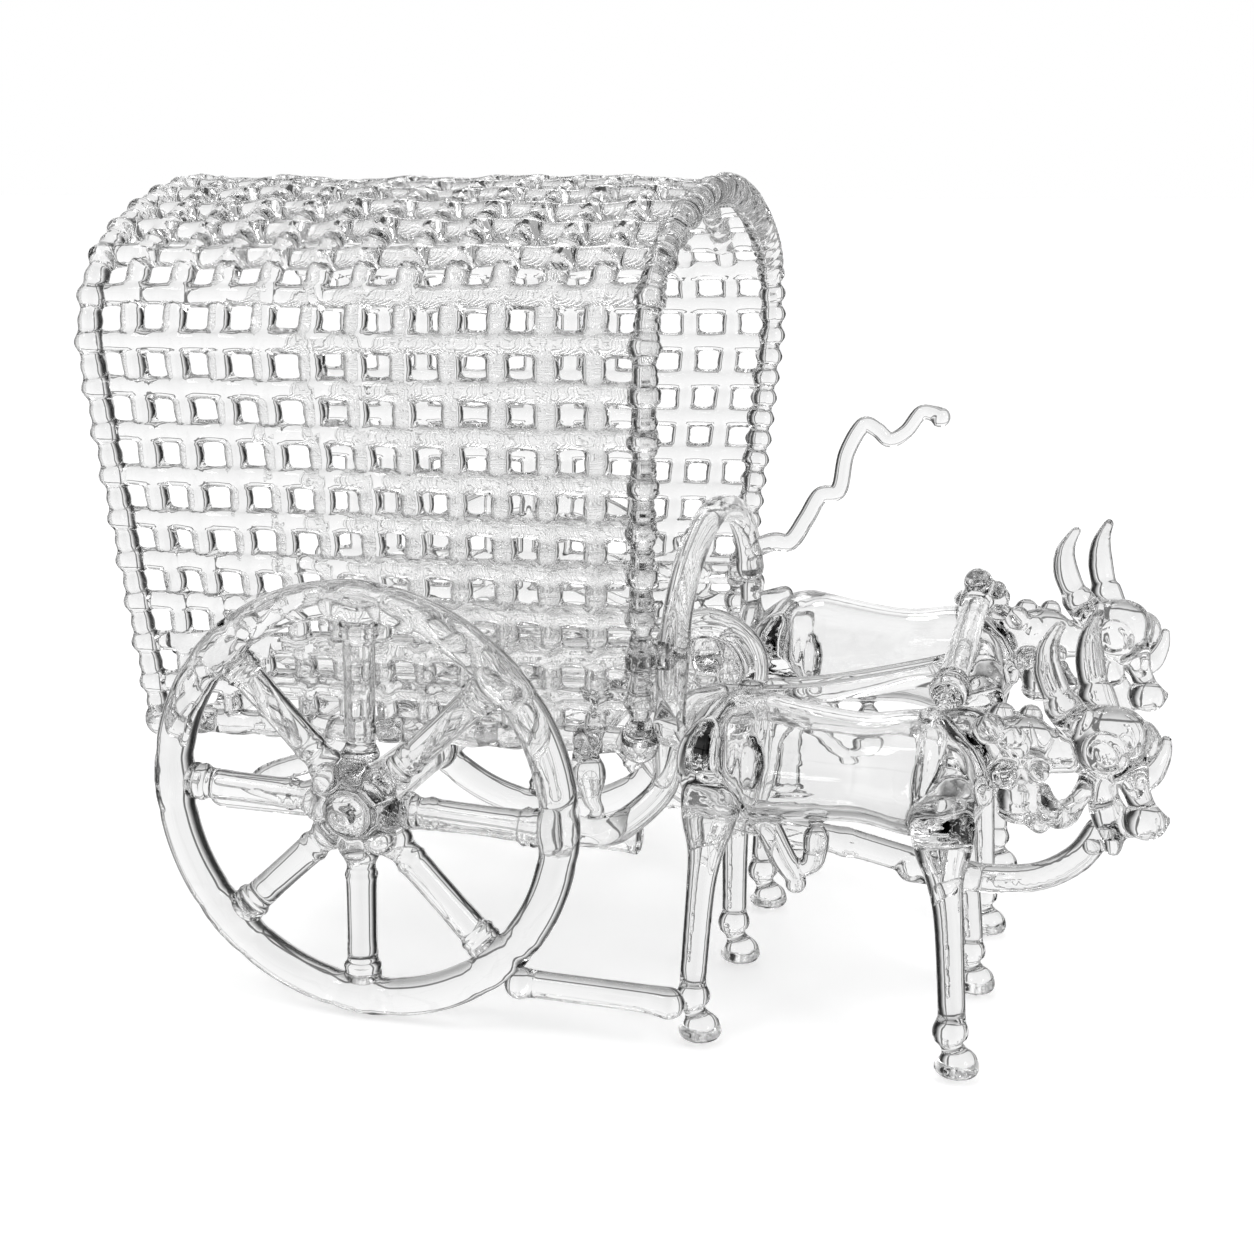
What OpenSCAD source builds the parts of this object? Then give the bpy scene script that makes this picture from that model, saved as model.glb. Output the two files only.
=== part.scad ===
// Glass figurine of a covered cart drawn by two bullocks, bent and fused from clear rod.
// +X points the way the bullocks walk, +Y is their left, +Z is up and the floor is z = 0.

/* [Wheels] */
// Outside diameter of a wheel
wheel_d = 68; // [56:1:82]
// Diameter of the rod that the rim is bent from
rim_rod_d = 6; // [4:0.2:8]
// Diameter of a spoke
spoke_d = 5; // [3:0.2:6]
// Number of spokes in a wheel
spoke_count = 8; // [6:1:12]
// Distance between the middle planes of the two wheels
track = 83; // [76:1:100]
// Diameter of a wheel's hub
hub_d = 14; // [12:0.5:17]
// Width of a wheel's hub along the axle
hub_w = 7.4; // [6:0.2:10]
// Diameter of the axle
axle_d = 7.6; // [6:0.2:9]
// How far the axle stands out of each hub
axle_stub = 3.4; // [2:0.2:6]

/* [Canopy] */
// Width of the canopy at its foot, between the middles of its sills
foot_w = 60.6; // [50:0.2:64]
// Width of the canopy at its shoulders
shoulder_w = 74.6; // [66:0.2:90]
// Height of the sills at the front
foot_front_z = 44; // [42:0.5:50]
// How much lower the sills are at the rear
foot_drop = 4; // [0:0.5:5]
// Height of the shoulders, where the walls turn into the roof
shoulder_z = 97; // [80:0.5:112]
// Radius of the bend at a shoulder
shoulder_r = 17; // [12:0.5:22]
// Radius of the bend across the crown
crown_r = 58.4; // [48:0.2:80]
// Length of the canopy along its foot
foot_len = 79; // [66:0.5:94]
// Length of the canopy from the shoulders up
crown_len = 88; // [72:0.5:104]
// Number of cells round the arch
cells_round = 32; // [24:1:38]
// Number of cells along the canopy
cells_along = 12; // [8:1:14]
// Diameter of a lattice rod
lattice_d = 3; // [2:0.1:3.6]
// Diameter of a bridge between two lattice rods
bridge_d = 2.6; // [1.6:0.1:3]
// Diameter of the rope at each end of the canopy
rope_d = 4.4; // [3:0.1:6]

/* [Bed] */
// Diameter of the sills
sill_d = 4.2; // [3:0.1:5]
// Diameter of the rods across the bed
cross_d = 4; // [3:0.1:5]
// Number of rods across the bed
cross_count = 5; // [3:2:9]
// Diameter of the slats
slat_d = 3; // [2:0.1:4]
// Number of slats
slat_count = 7; // [5:1:9]
// Height of the side rails above the sills
rail_rise = 12; // [8:0.5:20]
// Diameter of the side rails
rail_d = 4; // [3:0.1:5]
// Distance between the two beams below the bed
beam_gap = 56; // [44:0.5:60]
// Length of a beam
beam_len = 74; // [60:0.5:84]
// Diameter of a beam
beam_d = 5; // [3.6:0.1:6]

/* [Driver's end] */
// Height of the hoop's crown above the front sills
hoop_rise = 29; // [22:0.5:36]
// Diameter of the hoop's rod
hoop_d = 4.4; // [3:0.1:5]
// Radius of the seat's arch to the middle of its rod
seat_r = 7.6; // [6:0.2:10]
// Diameter of the seat's rod
seat_d = 4.2; // [3:0.1:5]
// Reach of the whip, forwards from the hoop
whip_reach = 28; // [20:1:36]
// Diameter of the whip
whip_d = 2.6; // [2:0.1:3.6]

/* [Draught gear] */
// Gap between the canopy's front at its foot and the bullocks' rumps
hitch_gap = 4.6; // [3:0.2:10]
// Diameter of the tongue's rods
tongue_d = 3.6; // [3:0.1:4.6]
// Diameter of the yoke's beam
yoke_d = 4.4; // [3:0.1:6]
// Diameter of the rods from the cart to the bullocks
link_d = 4.2; // [3:0.1:5]

/* [Bullocks] */
// Distance from the cart's middle to the right bullock's middle
right_y = 22; // [20:0.5:26]
// Distance from the cart's middle to the left bullock's middle
left_y = 27; // [22:0.5:32]
// How much taller the left bullock stands
left_lift = 3.5; // [0:0.5:5]
// Length of the hollow barrel
barrel_len = 27; // [22:0.5:34]
// Diameter of the barrel at its rear end
barrel_d = 19.2; // [16:0.2:22]
// How much the barrel's waist is drawn in
barrel_waist = 1.2; // [0:0.1:2]
// Thickness of the barrel's wall
barrel_wall = 1.4; // [1:0.1:2.4]
// Height of the belly above the floor
belly_z = 30.6; // [24:0.5:38]
// Length of the haunch behind the barrel
haunch_len = 9.6; // [7:0.2:13]
// Length of the chest ahead of the barrel
chest_len = 9.4; // [7:0.2:13]
// Sideways distance from a bullock's middle to a hoof
stance = 13.4; // [11:0.2:15]
// Diameter of a leg's rod
leg_d = 4.2; // [3:0.1:5]
// Distance from the chest's front to the middle of the head
head_reach = 15.2; // [13:0.2:19]
// Radius of the skull
skull_r = 5.6; // [4.6:0.1:6.6]
// How far each head is turned towards the right
head_turn = 32; // [0:1:45]
// Height of the horns' tips above the middle of the head
horn_h = 17; // [12:0.5:22]

/* [Hidden] */
$fn = 48;

clear_glass = [0.86, 0.89, 0.90, 0.55];
seam = 0.15;                                  // gap left where a bent rod meets another piece

// Wheels
wheel_r = wheel_d / 2;
rim_r = rim_rod_d / 2;
rim_mid_r = wheel_r - rim_r;
wheel_y = track / 2;
axle_z = wheel_r;
axle_half = wheel_y + hub_w / 2 + axle_stub;

// Canopy arch: a leaning wall, a shoulder bend and a crown bend, all tangent
half_foot = foot_w / 2;
half_shoulder = shoulder_w / 2;
function lean(foot_z) = atan2(half_shoulder - half_foot, shoulder_z - foot_z);
function wall_l(foot_z) = norm([half_shoulder - half_foot, shoulder_z - foot_z]);
function bend_mid(foot_z) =
    [half_shoulder - shoulder_r * cos(lean(foot_z)), shoulder_z + shoulder_r * sin(lean(foot_z))];
function crown_from(foot_z) = acos(bend_mid(foot_z)[0] / (crown_r - shoulder_r));
function bend_l(foot_z) = shoulder_r * (crown_from(foot_z) + lean(foot_z)) * PI / 180;
function crown_l(foot_z) = crown_r * (90 - crown_from(foot_z)) * PI / 180;
function half_l(foot_z) = wall_l(foot_z) + bend_l(foot_z) + crown_l(foot_z);
function crown_mid_z(foot_z) =
    bend_mid(foot_z)[1] - (crown_r - shoulder_r) * sin(crown_from(foot_z));
// A point [y, z] on the right half of the arch, at distance d up from the foot
function half_arch(foot_z, d) =
    d < wall_l(foot_z)
        ? [half_foot + d * sin(lean(foot_z)), foot_z + d * cos(lean(foot_z))]
    : d < wall_l(foot_z) + bend_l(foot_z)
        ? let (a = (d - wall_l(foot_z)) / shoulder_r * 180 / PI - lean(foot_z))
          bend_mid(foot_z) + shoulder_r * [cos(a), sin(a)]
        : let (a = crown_from(foot_z)
                   + (d - wall_l(foot_z) - bend_l(foot_z)) / crown_r * 180 / PI)
          [crown_r * cos(a), crown_mid_z(foot_z) + crown_r * sin(a)];
// The same for a share s of the whole arch, from the right foot (0) to the left foot (1)
function arch(foot_z, s) =
    let (p = half_arch(foot_z, 2 * min(s, 1 - s) * half_l(foot_z)))
    [s < 0.5 ? -p[0] : p[0], p[1]];
function end_x(foot_z, z) =
    foot_len / 2
    + (crown_len - foot_len) / 2 * min(1, max(0, (z - foot_z) / (shoulder_z - foot_z)));
foot_rear_z = foot_front_z - foot_drop;
function front_point(s) =
    let (p = arch(foot_front_z, s)) [end_x(foot_front_z, p[1]), p[0], p[1]];
function rear_point(s) =
    let (p = arch(foot_rear_z, s)) [-end_x(foot_rear_z, p[1]), p[0], p[1]];
// A point of the canopy: share s round the arch, share u from rear to front
function skin(s, u) = rear_point(s) * (1 - u) + front_point(s) * u;
lattice_r = lattice_d / 2;
rope_r = rope_d / 2;
wall_cells = round(cells_round * wall_l(foot_front_z) / (2 * half_l(foot_front_z)));

// Bed
sill_r = sill_d / 2;
function sill_z(x) = foot_rear_z + foot_drop * (x / foot_len + 0.5);
cross_r = cross_d / 2;
function cross_x(k) = foot_len * ((k + 0.5) / cross_count - 0.5);
bed_end = cross_x(cross_count - 1) + cross_r; // front face of the foremost cross rod
slat_r = slat_d / 2;
rail_r = rail_d / 2;
beam_r = beam_d / 2;
beam_y = beam_gap / 2;
beam_z = axle_z - axle_d / 2 - beam_r;
beam_x = 4;                                   // the beams' middle lies this far ahead of the axle
bed_front = foot_len / 2;

// Bullocks
body_x = bed_front + hitch_gap + haunch_len;  // the rear end of the barrels
barrel_r = barrel_d / 2;
body_z = belly_z + barrel_r;
chest_x = barrel_len + chest_len;
head_x = chest_x + head_reach;
head_z = body_z + 6.4;
hoof_r = 3.1;
hoof_h = 4.2;
fetlock_z = 6.4;
fetlock_r = 2.7;
hind_leg_x = -2;
hind_foot_x = -4.6;
yoke_x = body_x + barrel_len + 2;

// ---------------------------------------------------------------------------
// Shapes

// A straight rod from a to b
module rod(a, b, d, d2 = undef) {
    v = b - a;
    translate(a)
        rotate([0, acos(v[2] / norm(v)), atan2(v[1], v[0])])
        cylinder(h = norm(v), d1 = d, d2 = is_undef(d2) ? d : d2);
}

// A point on the smooth curve through the points p, at place t between p[i] and p[i + 1]
function curve(p, i, t) =
    let (n = len(p) - 1, a = p[max(i - 1, 0)], b = p[i], c = p[i + 1], e = p[min(i + 2, n)])
    0.5 * (2 * b + (c - a) * t + (2 * a - 5 * b + 4 * c - e) * t * t
           + (3 * b - a - 3 * c + e) * t * t * t);
function smooth(p, steps) =
    [for (i = [0 : len(p) - 2]) for (k = [0 : steps - 1]) curve(p, i, k / steps), p[len(p) - 1]];
function unit(v) = v / norm(v);
function heading(p, i) = unit(p[min(i + 1, len(p) - 1)] - p[max(i - 1, 0)]);

// A rod bent along the points p with the radius r[i] at each, closed by small flat ends.
// No stretch of it may run along the direction across.
module bent(p, r, steps = 3, sides = 12, across = [0, 1, 0], round_ends = true) {
    q = smooth(p, steps);
    w = smooth(r, steps);
    last = len(q) - 1;
    caps = round_ends ? [68, 36] : [];
    first_caps = [for (a = caps)
        [q[0] - heading(q, 0) * w[0] * sin(a), w[0] * cos(a), heading(q, 0)]];
    last_caps = [for (a = [36, 68]) if (round_ends)
        [q[last] + heading(q, last) * w[last] * sin(a), w[last] * cos(a), heading(q, last)]];
    rings = concat(first_caps, [for (i = [0 : last]) [q[i], w[i], heading(q, i)]], last_caps);
    count = len(rings);
    points = [for (g = rings)
        let (u = unit(cross(across, g[2])), v = cross(g[2], u))
        for (k = [0 : sides - 1])
            g[0] + g[1] * (u * cos(360 * k / sides) + v * sin(360 * k / sides))];
    sheets = [for (i = [0 : count - 2]) for (k = [0 : sides - 1])
        let (a = i * sides + k, b = i * sides + (k + 1) % sides)
        [a, a + sides, b + sides, b]];
    ends = [[for (k = [0 : sides - 1]) k],
            [for (k = [sides - 1 : -1 : 0]) (count - 1) * sides + k]];
    polyhedron(points, concat(sheets, ends), convexity = 6);
}
module bent_rod(p, d, steps = 3, sides = 12, across = [0, 1, 0]) {
    bent(p, [for (q = p) d / 2], steps, sides, across);
}

// ---------------------------------------------------------------------------
// Wheels

module rim_ring(y) {
    translate([0, y, axle_z]) rotate([90, 0, 0])
        rotate_extrude($fn = 96) translate([rim_mid_r, 0]) circle(r = rim_r, $fn = 32);
}
module wheel_rim(y) {
    color(clear_glass) rim_ring(y);
}
module wheel_hub(y) {
    color(clear_glass) translate([0, y, axle_z]) rotate([90, 0, 0]) difference() {
        rotate_extrude() intersection() {
            translate([0, -hub_w / 2]) square([hub_d / 2, hub_w]);
            translate([hub_d / 2 - hub_w / 2, 0]) union() {
                circle(d = hub_w, $fn = 40);
                translate([-hub_d, -hub_w / 2]) square([hub_d, hub_w]);
            }
        }
        cylinder(d = axle_d, h = 2 * hub_w, center = true);
    }
}
module wheel_spokes(y) {
    collar_r = spoke_d * 0.68;
    collar_at = rim_mid_r - rim_r - 0.2 * spoke_d;
    color(clear_glass) difference() {
        for (k = [0 : spoke_count - 1])
            translate([0, y, axle_z]) rotate([0, k * 360 / spoke_count + 1.5, 0]) {
                translate([0, 0, hub_d / 2 - 0.6]) cylinder(d = spoke_d, h = rim_mid_r - hub_d / 2);
                translate([0, 0, collar_at]) sphere(r = collar_r);
            }
        rim_ring(y);
        translate([0, y, axle_z]) rotate([90, 0, 0])
            cylinder(d = hub_d, h = 2 * spoke_d, center = true);
    }
}
module right_wheel_rim() wheel_rim(-wheel_y);
module right_wheel_spokes() wheel_spokes(-wheel_y);
module right_wheel_hub() wheel_hub(-wheel_y);
module left_wheel_rim() wheel_rim(wheel_y);
module left_wheel_spokes() wheel_spokes(wheel_y);
module left_wheel_hub() wheel_hub(wheel_y);
module axle() {
    dome = 1.6;                               // rise of the rounded ends
    dome_r = (axle_d * axle_d / 4 + dome * dome) / (2 * dome);
    color(clear_glass) translate([0, 0, axle_z]) rotate([90, 0, 0]) rotate_extrude()
        intersection() {
            translate([0, -axle_half]) square([axle_d / 2, 2 * axle_half]);
            union() {
                for (side = [-1, 1]) translate([0, side * (axle_half - dome_r)])
                    circle(r = dome_r, $fn = 96);
                square([axle_d, 2 * (axle_half - dome)], center = true);
            }
        }
}

// ---------------------------------------------------------------------------
// Canopy: rods that run its length, held a cell apart by short bridges

module lattice_rods(first, last) {
    color(clear_glass) for (i = [first : last]) {
        s = i / cells_round;
        trim = (rope_r + seam) / norm(front_point(s) - rear_point(s));
        rod(skin(s, trim), skin(s, 1 - trim), lattice_d, $fn = 20);
    }
}
module lattice_bridges(first, last) {
    color(clear_glass) for (i = [first : last]) for (k = [1 : cells_along - 1]) {
        a = skin(i / cells_round, k / cells_along);
        b = skin((i + 1) / cells_round, k / cells_along);
        along = unit(b - a);
        low_r = i == 0 ? sill_r : lattice_r;
        high_r = i == cells_round - 1 ? sill_r : lattice_r;
        rod(a + along * (low_r + 0.05), b - along * (high_r + 0.05), bridge_d, $fn = 16);
    }
}
module canopy_rods_right() lattice_rods(1, wall_cells);
module canopy_rods_roof() lattice_rods(wall_cells + 1, cells_round - wall_cells - 1);
module canopy_rods_left() lattice_rods(cells_round - wall_cells, cells_round - 1);
module canopy_bridges_right() lattice_bridges(0, wall_cells - 1);
module canopy_bridges_roof() lattice_bridges(wall_cells, cells_round - wall_cells - 1);
module canopy_bridges_left() lattice_bridges(cells_round - wall_cells, cells_round - 1);

module rope(u) {
    color(clear_glass) bent_rod([for (i = [0 : 40]) skin(i / 40, u)], rope_d,
                                steps = 1, sides = 10, across = [1, 0, 0]);
}
module canopy_front_rope() rope(1);
module canopy_rear_rope() rope(0);

// ---------------------------------------------------------------------------
// Bed, side rails and the beams below

module bed_sills() {
    color(clear_glass) for (s = [0, 1]) {
        trim = (rope_r + seam) / foot_len;
        rod(skin(s, trim), skin(s, 1 - trim), sill_d);
    }
}
module bed_cross_rods() {
    reach = half_foot - sill_r - 0.02;
    color(clear_glass) for (k = [0 : cross_count - 1])
        rod([cross_x(k), -reach, sill_z(cross_x(k))], [cross_x(k), reach, sill_z(cross_x(k))],
            cross_d);
}
module bed_slats() {
    first = cross_x(0) - cross_r;
    last = min(bed_end, seat_x - seat_r - seat_d / 2 - 0.3);
    spread = foot_w - sill_d - 3 * slat_d;
    rise = (cross_r + slat_r) / cos(atan(foot_drop / foot_len)) + 0.02;
    color(clear_glass) for (k = [0 : slat_count - 1]) {
        y = spread * (k / (slat_count - 1) - 0.5);
        rod([first, y, sill_z(first) + rise], [last, y, sill_z(last) + rise], slat_d, $fn = 24);
    }
}
// The middle of a side rail, against the inside of the wall
function rail_point(x, side) =
    let (share = rail_rise / (shoulder_z - foot_front_z),
         y = half_foot + (half_shoulder - half_foot) * share
             - (rope_r + rail_r) / cos(lean(foot_front_z)) - seam)
    [x, side * y, sill_z(x) + rail_rise];
module side_rails() {
    color(clear_glass) for (side = [-1, 1])
        rod(rail_point(-bed_front + 2, side), rail_point(bed_front + 2, side), rail_d);
}
module under_beams() {
    ends = [beam_x - beam_len / 2 + beam_r, beam_x + beam_len / 2 - beam_r];
    color(clear_glass) for (side = [-1, 1]) {
        rod([ends[0], side * beam_y, beam_z], [ends[1], side * beam_y, beam_z], beam_d);
        for (x = ends) translate([x, side * beam_y, beam_z]) sphere(d = beam_d);
    }
}
// Slanted struts from the beams' rear up to the sills
module rear_struts() {
    strut_r = 1.9;
    low_x = beam_x - beam_len / 2 + 10;
    high_x = low_x + 14;
    for (side = [-1, 1]) {
        low = [low_x, side * beam_y, beam_z + beam_r + 1.9];
        high = [high_x, side * half_foot, sill_z(high_x) - sill_r - 2];
        color(clear_glass) bent_rod([low, (low + high) / 2 + [-0.6, 0, 0.6], high], 2 * strut_r);
    }
}
// Drop-shaped struts near the beams' front
module front_struts() {
    x = beam_x + beam_len / 2 - 9;
    low = beam_z + beam_r;
    high = sill_z(x) - sill_r;
    for (side = [-1, 1]) {
        y_low = side * beam_y;
        y_high = side * half_foot;
        color(clear_glass) bent(
            [for (t = [0.1, 0.3, 0.5, 0.68, 0.84])
                [x - 0.6 * t, y_low + (y_high - y_low) * t, low + (high - low) * t]],
            [1.1, 1.4, 2.1, 2.5, 1.9], steps = 2);
    }
}
module axle_posts() {
    top = sill_z(0) - cross_r;
    for (side = [-1, 1])
        color(clear_glass) translate([0, side * beam_y / 2, axle_z + axle_d / 2])
            cylinder(d = cross_d, h = top - axle_z - axle_d / 2);
}

// ---------------------------------------------------------------------------
// Driver's end: a hoop across the opening, the whip, and the seat over the tongue

hoop_x = bed_front + rope_r + hoop_d / 2 + 0.3;
hoop_z = foot_front_z + hoop_rise;
hoop_foot_y = half_foot - 1.4;
module front_hoop() {
    color(clear_glass) bent_rod([
        [hoop_x - 0.5, -hoop_foot_y, foot_front_z + 2],
        [hoop_x, -hoop_foot_y + 0.4, foot_front_z + 0.34 * hoop_rise],
        [hoop_x, -hoop_foot_y + 3, foot_front_z + 0.68 * hoop_rise],
        [hoop_x, -0.5 * hoop_foot_y, hoop_z - 3.6],
        [hoop_x, -0.1 * hoop_foot_y, hoop_z],
        [hoop_x, 0.36 * hoop_foot_y, hoop_z - 3],
        [hoop_x, 0.68 * hoop_foot_y, hoop_z - 10.5],
        [hoop_x, 0.8 * hoop_foot_y, foot_front_z + rail_rise + 3.6]
    ], hoop_d, steps = 4, across = [1, 0, 0]);
}
module whip() {
    start = [hoop_x + hoop_d / 2 + whip_d / 2 + seam, 0.68 * hoop_foot_y, hoop_z - 9.5];
    color(clear_glass) bent([
        start,
        start + [0.12 * whip_reach, 0, 0.6],
        start + [0.24 * whip_reach, 0, 6.6],
        start + [0.38 * whip_reach, 0, 9],
        start + [0.43 * whip_reach, 0, 16],
        start + [0.54 * whip_reach, 0, 21],
        start + [0.70 * whip_reach, 0, 19],
        start + [0.85 * whip_reach, 0, 23.4],
        start + [0.97 * whip_reach, 0, 23],
        start + [whip_reach, 0, 22.8]
    ], [1, 1, 1, 1, 1, 0.95, 0.95, 0.9, 0.95, 1.1] * whip_d / 2, steps = 4, sides = 10);
}

tongue_r = tongue_d / 2;
tongue_y = 1.1 * tongue_r;
tongue_z = sill_z(bed_end) - 0.3;
seat_x = bed_end - 0.4 * cross_r + seat_d / 2 + seat_r;
module seat_arch() {
    foot_h = 1.4;
    color(clear_glass) translate([seat_x, 0, tongue_z + tongue_r + 0.1]) {
        translate([0, 0, foot_h]) rotate([90, 0, 0]) rotate_extrude(angle = 180)
            translate([seat_r, 0]) circle(d = seat_d, $fn = 32);
        for (side = [-1, 1]) translate([side * seat_r, 0, 0]) cylinder(d = seat_d, h = foot_h);
    }
}
module seat_knob() {
    knob_r = seat_r - seat_d / 2 - 2;
    rise = sqrt(pow(knob_r + tongue_r + 0.05, 2) - pow(tongue_y, 2));
    color(clear_glass) translate([seat_x, 0, tongue_z + rise]) sphere(r = knob_r);
}

// ---------------------------------------------------------------------------
// Draught gear

yoke_right = [yoke_x, 4 - right_y, belly_z + barrel_d + yoke_d / 2 + 0.2];
yoke_left = [yoke_x, left_y - 4, belly_z + barrel_d + left_lift + yoke_d / 2 + 0.2];
module tongue() {
    back = bed_end + tongue_r + 0.05;
    level_to = seat_x + seat_r + seat_d;
    front = yoke_x - tongue_r;
    front_z = (yoke_right[2] + yoke_left[2]) / 2 - yoke_d / 2 - tongue_r - 0.3;
    for (side = [-1, 1])
        color(clear_glass) bent_rod([
            [back, side * tongue_y, tongue_z],
            [level_to - 8, side * tongue_y, tongue_z],
            [level_to, side * tongue_y, tongue_z],
            [(level_to + front) / 2, side * tongue_y, tongue_z + 0.3 * (front_z - tongue_z)],
            [front - 4, side * tongue_y, tongue_z + 0.86 * (front_z - tongue_z)],
            [front, side * tongue_y, front_z]
        ], tongue_d, steps = 3);
}
module yoke_beam() {
    color(clear_glass) rod(yoke_right, yoke_left, yoke_d);
}
module yoke_beads() {
    bead_r = 2.5;
    along = unit(yoke_left - yoke_right);
    color(clear_glass) {
        translate(yoke_left + along * (bead_r + 0.05)) sphere(r = bead_r);
        translate(yoke_right - along * (bead_r + 0.05)) sphere(r = bead_r);
    }
}
// Rods fused from each wheel's rim to the fetlock of the outer hind leg
module wheel_braces() {
    down = 49;                                // degrees below the axle, ahead of it
    reach = wheel_r + link_d / 2;
    for (side = [-1, 1]) {
        rim_point = [reach * cos(down), side * (wheel_y - 1), axle_z - reach * sin(down)];
        fetlock = [body_x + hind_foot_x, side < 0 ? -right_y - stance : left_y + stance, fetlock_z];
        way = unit(fetlock - rim_point);
        color(clear_glass) rod(rim_point, fetlock - way * (fetlock_r + 0.1), link_d);
    }
}
// From the bed, down below the right bullock's belly and up to its chin
module lower_shaft() {
    shaft_r = link_d / 2;
    y = 5 - right_y;
    low = belly_z - shaft_r - 0.4;
    back_x = bed_end + shaft_r;
    chin_x = body_x + head_x - 0.4;
    color(clear_glass) bent_rod([
        [back_x, y, foot_front_z - 3],
        [back_x + 4, y, foot_front_z - 9],
        [back_x + 10, y, low + 1.6],
        [back_x + 19, y, low - 0.6],
        [body_x + 11, y, low - 2],
        [body_x + barrel_len, y, low - 5],
        [body_x + barrel_len + 8, y - 1.6, low - 4.6],
        [chin_x - 8, y - 3.6, low - 2],
        [chin_x - 2, y - 4.8, low + 2.6],
        [chin_x, y - 5, head_z - 15.6]
    ], link_d, steps = 4);
}
// From each under-beam, up behind the bullock's rump and over on to it
module draught_rods() {
    rest_a = 25;                              // degrees round the beam at which the rod lies on it
    rod_r = link_d / 2;
    for (side = [-1, 1]) {
        place = side < 0 ? right_place : left_place;
        y = side * (beam_y + (beam_r + rod_r + seam) * cos(rest_a));
        z = beam_z + (beam_r + rod_r + seam) * sin(rest_a);
        in_by = side < 0 ? [0.3, 0.65, 0.9, 1] : [0.9, 1.2, 1.2, 1.1];
        // A point round the rump at a degrees above level, at a share in from the beam's side
        rump = function (a, share)
            [place[0] - (haunch_len + rod_r + 0.5) * cos(a), y + share * (place[1] - y),
             place[2] + body_z + (barrel_r + rod_r + 0.5) * sin(a)];
        color(clear_glass) bent_rod([
            [bed_front - 10, y, z],
            [bed_front - 4, y, z + 0.2],
            [bed_front - 0.6, y, z + 1.8],
            rump(-18, in_by[0]), rump(15, in_by[1]), rump(40, in_by[2]), rump(60, in_by[3])
        ], link_d, steps = 4);
    }
}

// ---------------------------------------------------------------------------
// Bullock, drawn with the barrel's rear end at x = 0 and its middle at y = 0

module barrel() {
    function swell(x) = barrel_r - barrel_waist * pow(sin(180 * x / barrel_len), 2);
    steps = 12;
    stations = [for (i = [0 : steps]) i / steps * barrel_len];
    translate([0, 0, body_z]) rotate([0, 90, 0]) rotate_extrude()
        polygon(concat(
            [for (i = [0 : steps]) [swell(stations[i]), stations[i]]],
            [for (i = [steps : -1 : 0]) [swell(stations[i]) - barrel_wall, stations[i]]]));
}
// Half an egg of revolution, radius r at its flat face and l long
module half_egg(r, l) {
    rotate_extrude() polygon(concat([[0, 0]], [for (a = [0 : 10 : 90]) [r * cos(a), l * sin(a)]]));
}
module haunch() {
    translate([-0.05, 0, body_z]) rotate([0, -90, 0]) half_egg(barrel_r, haunch_len);
}
module chest() {
    translate([barrel_len + 0.05, 0, body_z]) rotate([0, 90, 0]) half_egg(barrel_r, chest_len);
}
module head_place() {
    translate([head_x, 0, head_z]) rotate([0, 0, -head_turn]) children();
}
module neck() {
    rise_a = 34;                              // degrees above level at which it leaves the chest
    way = [cos(rise_a), 0, sin(rise_a)];
    back = [barrel_len, 0, body_z]
           + [(chest_len + 2 * seam) * cos(rise_a), 0, (barrel_r + 2 * seam) * sin(rise_a)];
    bent([back, back + 3.2 * way, [head_x - skull_r - 1.6, 0.6, head_z - 0.8]],
         [3.9, 3.8, 3.6], steps = 3, sides = 14, round_ends = false);
}
module head() {
    head_place() bent(
        [[-4, 0, 1.2], [-2.6, 0, 1.4], [0, 0, 0.8], [2.8, 0, -2.2], [4.6, 0, -5.4],
         [5.8, 0, -8], [6.6, 0, -10], [7.2, 0, -12]],
        [2.6, 4.6, skull_r, 4.9, 3.3, 2.7, 3.5, 2.2], steps = 3, sides = 16);
}
module horns() {
    for (side = [-1, 1])
        head_place() bent(
            [[-3.6, side * 3.6, 7.4], [-5, side * 4.4, 9.4], [-5.4, side * 4.8, 12],
             [-4.8, side * 4.6, 14.6], [-3.6, side * 4.2, horn_h - 0.8]],
            [2.2, 2.1, 1.8, 1.4, 1], steps = 3, sides = 12);
}
module ears() {
    for (side = [-1, 1])
        head_place() bent(
            [[-0.4, side * (skull_r + 1.4), -1.2], [-0.8, side * (skull_r + 3.8), -2],
             [-0.6, side * (skull_r + 6.4), -0.8], [-0.2, side * (skull_r + 7.8), 2]],
            [1.4, 1.9, 1.6, 1], steps = 3, sides = 12, across = [1, 0, 0]);
}
// One leg from the body's side down to the floor, which lies a lift below z = 0
module leg(x, side, lean_x, lift) {
    foot_x = x + lean_x;
    foot_y = side * stance;
    out = barrel_r + leg_d / 2 + 0.2;
    top_z = body_z;
    rod_r = leg_d / 2;
    floor_z = -lift;
    bent([[x, side * out, top_z + 1.6],
          [x, side * out, top_z],
          [x + 0.2 * lean_x, side * out, top_z - 5],
          [x + 0.5 * lean_x, side * (out + stance) / 2, 0.5 * top_z],
          [foot_x, foot_y, floor_z + fetlock_z + 3],
          [foot_x, foot_y, floor_z + fetlock_z + 1],
          [foot_x, foot_y, floor_z + fetlock_z - 0.6],
          [foot_x, foot_y, floor_z + hoof_h],
          [foot_x + 0.4, foot_y, floor_z + 0.5 * hoof_h],
          [foot_x + 0.4, foot_y, floor_z + 0.2 * hoof_h],
          [foot_x + 0.4, foot_y, floor_z]],
         [rod_r * 0.5, rod_r, rod_r * 1.1, rod_r, rod_r, fetlock_r, fetlock_r, 0.6 * hoof_r,
          hoof_r, 0.85 * hoof_r, 0.45 * hoof_r], steps = 2, round_ends = false);
}
module legs(lift) {
    for (side = [-1, 1]) {
        leg(hind_leg_x, side, hind_foot_x - hind_leg_x, lift);
        leg(barrel_len + 2.6, side, 3.4, lift);
    }
}
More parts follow.
